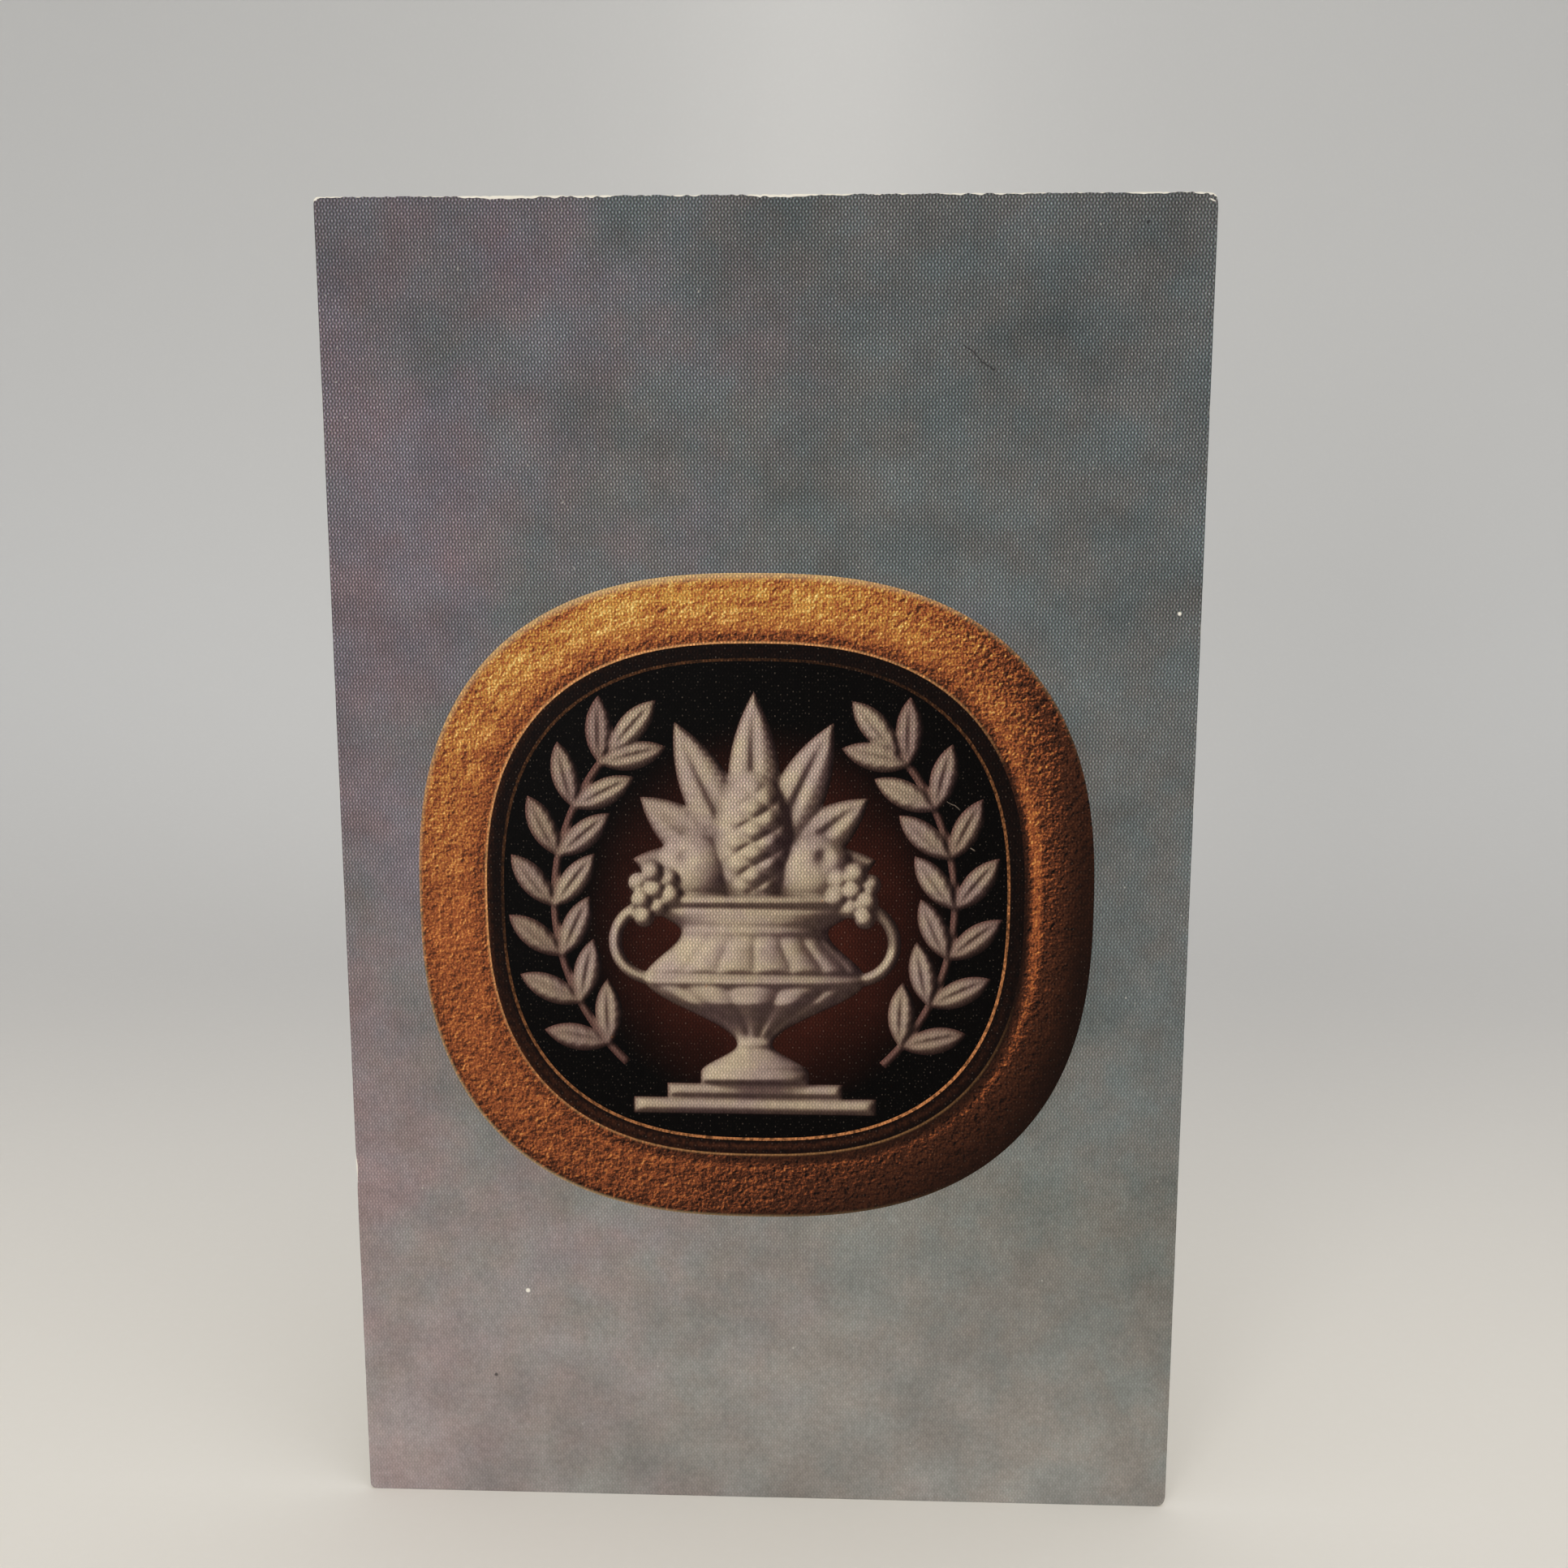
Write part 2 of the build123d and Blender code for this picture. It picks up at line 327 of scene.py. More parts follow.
def card_edge(wear, ply, ink=False):
    """The worn outline of one ply, as rows of (x, z).

    A rounded rectangle is walked at even steps. Each point is moved towards the nearest point of
    a rectangle well inside it, by blurred noise, by nibs along the top, by bell-shaped dents at
    the rubbed corners and chips, and, for the ink, by the distance that it has worn back, which
    is greatest and most uneven along the top edge, with one flake missing on the left.
    """
    half, high, radius = card_size[0] / 2, card_size[2], CORNER_RADIUS
    names = ("step", "fray", "nib", "corner", "chip", "lift", "top_lift")
    step, fray, nib, corner, chip, lift, top_lift = (getattr(wear, name) / MM for name in names)
    corners = [
        (half - radius, radius),
        (half - radius, high - radius),
        (radius - half, high - radius),
        (radius - half, radius),
    ]
    line = []
    for number, (x, z) in enumerate(corners):
        angle = np.radians(np.linspace(-90, 0, 9) + 90 * number)
        arc = np.stack([x + radius * np.cos(angle), z + radius * np.sin(angle)], -1)
        onward = corners[(number + 1) % 4]
        run = np.hypot(onward[0] - x, onward[1] - z)
        part = np.linspace(0, 1, int(run / step))[1:-1, None]
        side = arc[-1] + part * (np.array(onward) - (x, z))
        line += [arc, side]
    line = np.vstack(line)
    core = np.clip(line, (EDGE_ROOM - half, EDGE_ROOM), (half - EDGE_ROOM, high - EDGE_ROOM))
    inward = (core - line) / np.linalg.norm(core - line, axis=1)[:, None]
    count = len(line)
    worn = fray * (np.abs(edge_noise(count, wear.seed + ply, 2)) + 0.3)
    on_top = smooth(high - 0.5, high - 0.1, line[:, 1])
    flake_depth, flake_middle, flake_half = 0.14, 38.4, 1
    nibs = np.clip(0.9 - 0.8 * np.abs(edge_noise(count, wear.seed + 30 + ply % 2, 1.1)), 0, 1)
    worn += nib * on_top * nibs
    dents = (
        (half, high, corner, 0.8),
        (-half, high, corner / 8, 0.6),
        (half, 0, chip, 0.7),
        (-half, 0, chip / 2, 0.5),
        (-half, 37, chip / 5, 0.8),
    )
    for x, z, depth, width in dents:
        worn += depth * bell(np.hypot(line[:, 0] - x, line[:, 1] - z), 0, width)
    if ink:
        coarse = edge_noise(count, wear.seed + 40, 9)
        fine = edge_noise(count, wear.seed + 50, 1.2)
        worn += lift * np.clip(coarse - 0.6, 0, 3)
        worn += top_lift * on_top * np.clip(0.9 + 0.9 * coarse + 0.6 * fine, 0, 2.3)
        flake = bell(line[:, 1], flake_middle, flake_half) * (line[:, 0] < 0)
        worn += flake_depth * flake
    return line + inward * worn[:, None] + (card_middle, 0)


def oval(size, angle):
    """Points of the rounded oval |x/a|^n + |z/b|^n = 1 in given directions from its centre."""
    across, up = np.cos(angle), np.sin(angle)
    spread = abs(across / (size[0] / 2)) ** OVAL_POWER + abs(up / (size[2] / 2)) ** OVAL_POWER
    reach = spread ** (-1 / OVAL_POWER)
    return np.stack([reach * across, reach * up], -1)


def stand(flat, depth):
    """Sets flat points (x, z) up at a depth y, which is a number or an array."""
    return np.stack([flat[..., 0], np.broadcast_to(depth, flat.shape[:-1]), flat[..., 1]], -1)


def slab(edge, back, front):
    """A sheet between two depths: rings from the back's middle over the edge to the front's."""
    middle = np.array([card_middle, card_size[2] / 2])
    rings = ((0, back), (0.6, back), (1, back), (1, front), (0.6, front), (0, front))
    return np.stack([stand(middle + (edge - middle) * scale, depth) for scale, depth in rings])


def band(outer, inner, rows):
    """A flat ring of ink between two ovals: rows across its front, closed round its back.

    Returns the grid, and for each of its points the share of the way from outer to inner.
    """
    share_in = np.concatenate([[0], np.linspace(0, 1, rows), [1]])[:, None, None]
    flat = oval_centre + outer + (inner - outer) * share_in
    depth = np.full(flat.shape[:2], print_front)
    depth[[0, -1]] = print_back
    return stand(flat, depth), np.broadcast_to(share_in[..., 0], depth.shape)


# Relief. Flat coordinates are in millimetres from the oval's centre, heights from the field.

LAUREL_INSET = 5.4  # from the field's edge to the stem of a spray
LAUREL_LONG, LAUREL_WIDE, LAUREL_LEAN = 7.2, 2.9, radians(38)
HANDLE_WIDE, HANDLE_REACH = 1.4, 3.0  # the rod, and how far it stands out from the bowl
CONE_WIDE = 8.2
GRAPE_WIDE, GRAPE_PITCH = 2.2, 1.85
FORM_TOP = 7.0  # the height that fills the depth of the print
FORM_GAP = 0.0002  # between the field's ink and the lowest front of a form


class Form:
    """One raised form of the relief.

    A point (a, b) of its own frame lies a along and b across from its origin, turned by an angle.
    In a bent form it lies at the arc length a round the origin, and b outside the radius. The
    height over the field is a function of (a, b) and has no value outside the outline.
    """

    def __init__(self, grid, height, origin=(0, 0), turn=0.0, radius=None, side=1, disc=False):
        self.grid, self.height, self.origin = grid, height, origin
        self.turn, self.radius, self.side, self.disc = turn, radius, side, disc

    def place(self, a, b):
        """From the form's own frame to (x, z)."""
        if self.radius:
            angle = self.turn + a / self.radius
            x = (self.radius + b) * np.cos(angle)
            z = (self.radius + b) * np.sin(angle)
        else:
            x = a * cos(self.turn) - b * sin(self.turn)
            z = a * sin(self.turn) + b * cos(self.turn)
        return self.side * (self.origin[0] + x), self.origin[1] + z

    def locate(self, x, z):
        """From (x, z) to the form's own frame."""
        x, z = self.side * x - self.origin[0], z - self.origin[1]
        if self.radius:
            angle = np.mod(np.arctan2(z, x) - self.turn, 2 * pi)
            return self.radius * angle, np.hypot(x, z) - self.radius
        return x * cos(self.turn) + z * sin(self.turn), z * cos(self.turn) - x * sin(self.turn)


def round_over(share_out):
    """Half an ellipse over -1 to 1, sqrt(1 - s^2), with no value beyond."""
    return np.sqrt(1 - share_out**2)


def strip(long, half_width, rows, columns):
    """A grid along 0 to long whose width follows a function of the length."""
    a = np.linspace(0, long, rows)[:, None]
    b = half_width(a) * np.linspace(-1, 1, columns)
    return np.broadcast_to(a, b.shape), b


def disc(wide, high, rings, spokes):
    """A polar grid over an ellipse."""
    radius = np.linspace(0, 1, rings)[:, None]
    angle = np.linspace(0, 2 * pi, spokes, endpoint=False)
    return radius * wide / 2 * np.cos(angle), radius * high / 2 * np.sin(angle)


def even(wide):
    """The half width of a strip that is the same all along."""
    return lambda a: wide / 2 + 0 * a


def within(a, long, value):
    """Leaves a value only between the ends of a form."""
    return np.where((a >= 0) & (a <= long), value, np.nan)


def leaf(long, wide, base, rise, **place):
    """A pointed leaf between two equal arcs: rounded across, arched along, with a groove down
    the midrib and veins that slant forwards from it."""
    radius = (long**2 + wide**2) / (4 * wide)

    def half_width(a):
        return np.sqrt(np.maximum(radius**2 - (a - long / 2) ** 2, 0)) - (radius - wide / 2)

    def height(a, b):
        across = np.abs(b) / np.maximum(within(a, long, half_width(a)), 1e-6)
        hump = np.sin(pi * np.clip(a / long, 0, 1))
        arch = 0.55 + 0.45 * hump**0.7
        veins = 0.07 * np.cos(2 * pi * (a - 0.9 * np.abs(b)) / 1.15) * across
        groove = 0.34 * bell(b, 0, 0.09 * wide) * hump
        return base + rise * arch * round_over(across) ** 0.8 + veins - groove * rise

    return Form(strip(long, half_width, 44, 23), height, **place)


def ball(across, base, rise, dimple, **place):
    """A round fruit: half an ellipsoid, with a dimple above its middle."""

    def height(a, b):
        out = np.hypot(a, b) * 2 / across
        dent = dimple * bell(np.hypot(a - 0.12 * across, b - 0.2 * across), 0, 0.1 * across)
        return base + rise * round_over(out) - dent

    rings = max(10, int(across * 6))
    return Form(disc(across, across, rings, rings * 3), height, disc=True, **place)


def pine_cone(wide, high, base, rise, **place):
    """A cone: half an ellipsoid under a lattice of scales, the product of two slanted waves."""

    def height(a, b):
        out = np.hypot(a * 2 / wide, b * 2 / high)
        half_here = wide / 2 * np.sqrt(np.clip(1 - (2 * b / high) ** 2, 0.02, 1))
        row = b / 1.25
        column = np.arcsin(np.clip(a / half_here, -1, 1)) * 1.9
        scale = np.abs(np.sin(pi * (row + column) / 2) * np.sin(pi * (row - column) / 2)) ** 0.6
        return base + rise * round_over(out) + 0.75 * (scale - 0.5) * np.clip(2 - 2 * out, 0, 1)

    return Form(disc(wide, high, 60, 180), height, disc=True, **place)


def rod(long, wide, base, rise, radius, **place):
    """A bent rod of even width and half-round section."""

    def height(a, b):
        return within(a, long, base + rise * round_over(2 * b / wide))

    return Form(strip(long, even(wide), int(long * 4), 9), height, radius=radius, **place)


def arc_through(first, middle, last):
    """Centre, radius, first angle and length of the circle through three points, walked
    anticlockwise."""
    (ax, ay), (bx, by), (cx, cy) = first, middle, last
    twice = 2 * (ax * (by - cy) + bx * (cy - ay) + cx * (ay - by))
    a2, b2, c2 = ax**2 + ay**2, bx**2 + by**2, cx**2 + cy**2
    x = (a2 * (by - cy) + b2 * (cy - ay) + c2 * (ay - by)) / twice
    y = (a2 * (cx - bx) + b2 * (ax - cx) + c2 * (bx - ax)) / twice
    radius = float(np.hypot(ax - x, ay - y))
    start = float(np.arctan2(ay - y, ax - x))
    end = float(np.arctan2(cy - y, cx - x))
    return (x, y), radius, start, radius * ((end - start) % (2 * pi))


def laurel_forms(side):
    """A spray of laurel: a bent stem, pairs of leaves along it and one leaf at its tip."""
    pairs, forms = 7, []
    stem_oval = field_size - 2 * LAUREL_INSET
    points = [oval(stem_oval, radians(angle)) for angle in (-52, -1, 50)]
    centre, radius, start, reach = arc_through(*points)

    def add_leaf(along, base, lean):
        """Adds a leaf at a length along the stem, which leans away from the stem's own way."""
        angle = start + along / radius
        place = {
            "origin": (centre[0] + radius * cos(angle), centre[1] + radius * sin(angle)),
            "turn": angle + pi / 2 + lean,
        }
        forms.append(leaf(LAUREL_LONG, LAUREL_WIDE, base, 1.1, side=side, **place))

    forms.append(rod(reach, 0.9, 0.25, 0.5, radius, origin=centre, turn=start, side=side))
    for pair in range(pairs):
        for way in (-1, 1):
            base = 0.45 + 0.12 * way + 0.1 * (pair % 2)
            add_leaf((pair + 0.5) / pairs * reach, base, way * LAUREL_LEAN)
    add_leaf(reach - 1, 0.75, 0)
    return forms


def plinth_step(wide, bottom, high, rise):
    """One step of the plinth: a block with rounded edges, 1 - |s|^n both ways."""

    def height(a, b):
        along = np.abs(2 * a / high - 1)
        beside = np.where(np.abs(b) <= wide / 2, np.abs(2 * b / wide), np.nan)
        edge = (1 - along**4) * (1 - beside**40)
        return np.where(along <= 1, 1.0, np.nan) * (0.5 + rise * np.sqrt(np.maximum(edge, 0)))

    return Form(strip(high, even(wide), 14, 121), height, origin=(0, bottom), turn=pi / 2)


def urn_body(bottom, levels, widths):
    """A turned body, flattened: half widths at some levels, joined by S-curves."""
    bowl, neck, lip = levels[3:6]
    rings = (
        (0.5, 0.4, 0.35),
        (1.5, 0.25, -0.3),
        (4.4, 0.45, 0.45),
        (bowl - 0.35, 0.4, 0.5),
        (bowl + 0.4, 0.22, -0.35),
        (neck, 0.5, 0.4),
        (lip + 0.5, 0.5, 0.6),
        (lip - 0.3, 0.2, -0.3),
    )

    def half_width(a):
        number = np.clip(np.searchsorted(levels, a, "right") - 1, 0, len(levels) - 2)
        low, high = levels[number], levels[number + 1]
        part = smooth(0, 1, (a - low) / (high - low))
        return widths[number] + (widths[number + 1] - widths[number]) * part

    def height(a, b):
        """Flutes on the bowl, tongues on the shoulder, and rings at the foot, neck and lip."""
        width = within(a, levels[-1], half_width(a))
        across = b / width
        around = np.arcsin(np.clip(across, -1, 1))
        body = 1.2 + np.minimum(0.5 * width, 4.3) * round_over(across)
        on_bowl = smooth(5.0, 6.2, a) * (1 - smooth(bowl - 1.3, bowl - 0.7, a))
        flutes = 0.5 * (np.abs(np.cos(around * 6.5)) - 0.55) * on_bowl
        on_shoulder = smooth(bowl + 0.6, bowl + 1.2, a) * (1 - smooth(neck - 1.2, neck - 0.4, a))
        tongues = 0.34 * (np.abs(np.sin(around * 9)) ** 0.7 - 0.4) * on_shoulder
        return body + flutes + tongues + sum(
            rise * bell(a, level, wide) for level, wide, rise in rings
        )

    return Form(strip(levels[-1], half_width, 150, 101), height, origin=(0, bottom), turn=pi / 2)


def grape_forms(x, z):
    """Two mirrored bunches, which hang outwards from (x, z) in rows of 2, 3, 2 and 1."""
    slant, grapes = radians(-68), []
    for side in (-1, 1):
        for row, count in enumerate((2, 3, 2, 1)):
            for number in range(count):
                aside = number - (count - 1) / 2
                a, b = row * GRAPE_PITCH * sin(pi / 3), aside * GRAPE_PITCH
                place = (x + a * cos(slant) - b * sin(slant), z + a * sin(slant) + b * cos(slant))
                lift = 4.2 + 0.25 * ((row * 2 + number * 3) % 4) - 0.35 * abs(aside)
                grapes.append(ball(GRAPE_WIDE, lift, 1.05, 0.1, origin=place, side=side))
    return grapes


def fan_forms(middle):
    """Seven leaves that spread from one place and end on an oval between the sprays."""
    sprays_apart = field_size[0] - 2 * LAUREL_INSET - 2 * (LAUREL_LONG * sin(LAUREL_LEAN))
    fan_oval = np.array([sprays_apart - 7.6, 0, field_size[2] - 6.4])
    spread, fan = 23, []
    for number in range(-3, 4):
        across, up = oval(fan_oval, radians(90 + number * spread)) - (0, middle)
        long, base = float(np.hypot(across, up)), 0.5 + 0.18 * (3 - abs(number))
        place = {"origin": (0, middle), "turn": float(np.arctan2(up, across))}
        fan.append(leaf(long, 5.6, base, 1.6, **place))
    return fan


def relief_forms():
    """Every form of the relief, under the name of the CAD node that it fills."""
    plinth_low, plinth_size = span("plinth_print")
    urn_low, urn_size = span("urn_print")
    plinth_bottom = plinth_low[2] - oval_centre[1]
    urn_bottom = urn_low[2] - oval_centre[1]
    lip_rise = urn_bottom + urn_size[2]
    lip_high, neck_high, shoulder_high = 1, 2.8, 5.2
    lip_bottom = lip_rise - lip_high
    neck_top = lip_bottom - neck_high
    bowl_top = neck_top - shoulder_high
    foot_levels, foot_width, stem_width = (0, 1.2, 4.4), 11.6, 3.8
    bowl_width = urn_size[0] - 2 * HANDLE_REACH - HANDLE_WIDE
    neck_width = bowl_width - 8
    lip_width = neck_width + 6.6
    stations = np.array([bowl_top, neck_top, lip_bottom, lip_rise]) - urn_bottom
    levels = np.concatenate([foot_levels, stations])
    widths = [foot_width, foot_width, stem_width, bowl_width, neck_width, lip_width, lip_width]
    centre, radius, start, reach = arc_through(
        (bowl_width / 2 - HANDLE_WIDE / 2, bowl_top),
        (bowl_width / 2 + HANDLE_REACH, (bowl_top + lip_bottom) / 2),
        (lip_width / 2 - HANDLE_WIDE / 2, lip_bottom),
    )
    lower_high, upper_high, upper_inset = 1.8, 1.6, 7.2
    heap_sunk, cone_top_gap, fruit_behind_cone = 1.9, 11.4, 2.3
    heap_bottom = lip_rise - heap_sunk
    cone_high = field_size[2] / 2 - cone_top_gap - heap_bottom
    fruit_edge = lip_width / 2 - 0.4
    fruit = fruit_edge - (CONE_WIDE / 2 - fruit_behind_cone)
    fruit_place = (fruit_edge - fruit / 2, heap_bottom + fruit / 2)
    return {
        "plinth_print": [
            plinth_step(plinth_size[0], plinth_bottom, lower_high, 2.3),
            plinth_step(
                plinth_size[0] - upper_inset, plinth_bottom + lower_high, upper_high, 1.7
            ),
        ],
        "grape_print": grape_forms(lip_width / 2 - 1.2, lip_rise + 2.2),
        "urn_print": [
            urn_body(urn_bottom, levels, np.array(widths) / 2),
            *(
                rod(reach, HANDLE_WIDE, 1.1, 1.3, radius, origin=centre, turn=start, side=side)
                for side in (-1, 1)
            ),
        ],
        "fruit_print": [
            *(ball(fruit, 0.9, 3.5, 0.7, origin=fruit_place, side=side) for side in (-1, 1)),
            pine_cone(CONE_WIDE, cone_high, 1.6, 3.6, origin=(0, heap_bottom + cone_high / 2)),
        ],
        "fan_leaf_print": fan_forms(lip_rise + 1),
        "laurel_print_right": laurel_forms(1),
        "laurel_print_left": laurel_forms(-1),
    }


class Picture:
    """The relief as the print shows it, on a square map of heights.

    The height is the highest form over each cell. Its slope gives the light on the stone. Shade is
    cast by what stands above the line to the light, and hollows are dimmed by how far they lie
    below the blurred height round them. The stone looks solid where it is thick, and brown where
    it is thin.
    """

    def __init__(self, forms, relief):
        self.cell = relief.cell / MM
        margin = 1
        self.half = float(max(field_size[0], field_size[2])) / 2 + margin
        axis = np.arange(-self.half, self.half, self.cell)
        x, z = np.meshgrid(axis, axis)
        top = np.zeros(x.shape)
        with np.errstate(invalid="ignore"):
            for group in forms.values():
                for form in group:
                    top = np.fmax(top, form.height(*form.locate(x, z)))
        per_mm = 1 / self.cell
        steeper, key_light, fill_light, cast_share, hollow_share = 1.5, 0.84, 0.2, 0.6, 0.6
        soft = blur(top, 0.09 * per_mm)
        up, right = steeper * np.array(np.gradient(blur(top, 0.16 * per_mm), self.cell))
        rise, turn_to = relief.light_rise, relief.light_turn
        light = np.array([cos(turn_to) * cos(rise), sin(turn_to) * cos(rise), sin(rise)])
        normal = np.sqrt(1 + up**2 + right**2)
        facing = (light[2] - right * light[0] - up * light[1]) / normal
        fill = (0.8 + 0.4 * right + 0.3 * up) / normal
        shade = np.zeros(top.shape)
        to_light = np.array([sin(turn_to), cos(turn_to)])
        for distance in np.arange(0.3, 7.0, 0.25):
            move = np.round(to_light * distance * per_mm).astype(int)
            over = np.roll(soft, -move, axis=(0, 1)) - soft - distance * np.tan(rise)
            shade = np.maximum(shade, smooth(-0.15, 0.6, over))
        shade = blur(shade, 0.25 * per_mm)
        hollow = np.maximum(blur(soft, 1.3 * per_mm) - soft, 0)
        hollow = hollow + 0.3 * np.maximum(blur(soft, 0.4 * per_mm) - soft, 0)
        lit = key_light * np.clip(facing, 0, 1) * (1 - cast_share * shade)
        lit = lit + fill_light * np.clip(fill, 0, 1)
        self.tone = blur(np.clip(lit * np.exp(-hollow_share * hollow), 0, 1.1), 0.1 * per_mm)
        self.stone = blur(smooth(0.3, 2.2, blur(top, 0.2 * per_mm)), 0.07 * per_mm)

    def read(self, field, flat):
        """Reads a map at flat points, between its cells, by the distance to each."""
        column = np.clip((flat[..., 0] + self.half) / self.cell, 0, field.shape[1] - 2)
        row = np.clip((flat[..., 1] + self.half) / self.cell, 0, field.shape[0] - 2)
        c, r = column.astype(int), row.astype(int)
        p, q = column - c, row - r
        near = field[r, c] * (1 - p) + field[r, c + 1] * p
        far = field[r + 1, c] * (1 - p) + field[r + 1, c + 1] * p
        return near * (1 - q) + far * q

    def marks(self, flats, share_shown=1.0):
        """The light and the thickness of the stone at each grid of flat points."""
        return {
            "Tone": [self.read(self.tone, flat) for flat in flats],
            "Stone": [self.read(self.stone, flat) * share_shown for flat in flats],
        }


_made = {}


def printed_relief():
    """The forms and their picture, worked out once."""
    if not _made:
        _made["forms"] = relief_forms()
        _made["picture"] = Picture(_made["forms"], settings().relief)
    return _made["forms"], _made["picture"]


def press(form):
    """A form pressed flat into the ink: a closed shell between the field's ink and the print's
    face, whose front keeps the order of the true heights.

    A disc runs by rings from its front's middle over its edge to its back's. A strip runs round
    each row, over the front and back again, and ends in a row that lies on the field.
    """
    a, b = (np.asarray(part, float) for part in form.grid)
    with np.errstate(invalid="ignore"):
        height = form.height(a, b)
    height = np.nan_to_num(height, nan=0.4)
    flat = np.stack(form.place(a, b), -1)
    low = field_face - FORM_GAP
    front = low - np.clip(height / FORM_TOP, 0.01, 1) * (low - print_front)
    if form.disc:
        flat = np.concatenate([flat, flat[-1:], flat[:1]])
        depth = np.concatenate([front, np.full((2, a.shape[1]), field_face)])
    else:
        flat = np.concatenate([flat, flat[:, ::-1]], axis=1)
        depth = np.concatenate([front, np.full(front.shape, field_face)], axis=1)
        flat = np.concatenate([flat[:1], flat, flat[-1:]])
        ends = np.full((1, depth.shape[1]), field_face)
        depth = np.concatenate([ends, depth, ends])
    return stand(flat + oval_centre, depth), flat


# Materials. Places are in millimetres, (x, z) from the middle of the card's foot.

SCREENS_APART = 30  # degrees between the printing screens
SCRATCH = ((19.9, 125.6), (23.3, 122.9), 0.09)  # two ends and a width
CREASE = ((43.7, 139.5), (44.3, 139.0), 0.1)
HAIR, FAINT_HAIR = ((16.6, 76.8), (22.2, 74.2), 0.07), ((17.4, 80.6), (20.6, 78.6), 0.06)
DARK_SPOTS = ((-29.8, 14.2, 0.22), (37.8, 137.2, 0.2))  # a place and a radius
LIGHT_SPOTS = ((-26.0, 24.3, 0.26), (42.3, 99.0, 0.2))


def math_node(operation, reflected=False):
    """A method that adds one Math node, with its own wire first, or last where reflected."""

    def method(self, *others):
        inputs = (*others, self) if reflected else (self, *others)
        return self.paint.node("ShaderNodeMath", {"operation": operation}, dict(enumerate(inputs)))

    return method


class Wire:
    """An output of a node. Arithmetic on it adds Math nodes."""

    def __init__(self, paint, socket):
        self.paint, self.socket = paint, socket

    __add__, __radd__ = math_node("ADD"), math_node("ADD", True)
    __sub__, __rsub__ = math_node("SUBTRACT"), math_node("SUBTRACT", True)
    __mul__, __rmul__ = math_node("MULTIPLY"), math_node("MULTIPLY", True)
    __truediv__, __rtruediv__ = math_node("DIVIDE"), math_node("DIVIDE", True)
    __pow__, __rpow__ = math_node("POWER"), math_node("POWER", True)
    cos, exp, abs = math_node("COSINE"), math_node("EXPONENT"), math_node("ABSOLUTE")
    at_least, at_most = math_node("MAXIMUM"), math_node("MINIMUM")

    def step(self, low, high):
        """Rises smoothly from nought to one between two values."""
        return self.paint.node(
            "ShaderNodeMapRange",
            {"interpolation_type": "SMOOTHSTEP"},
            {"Value": self, "From Min": low, "From Max": high},
        )


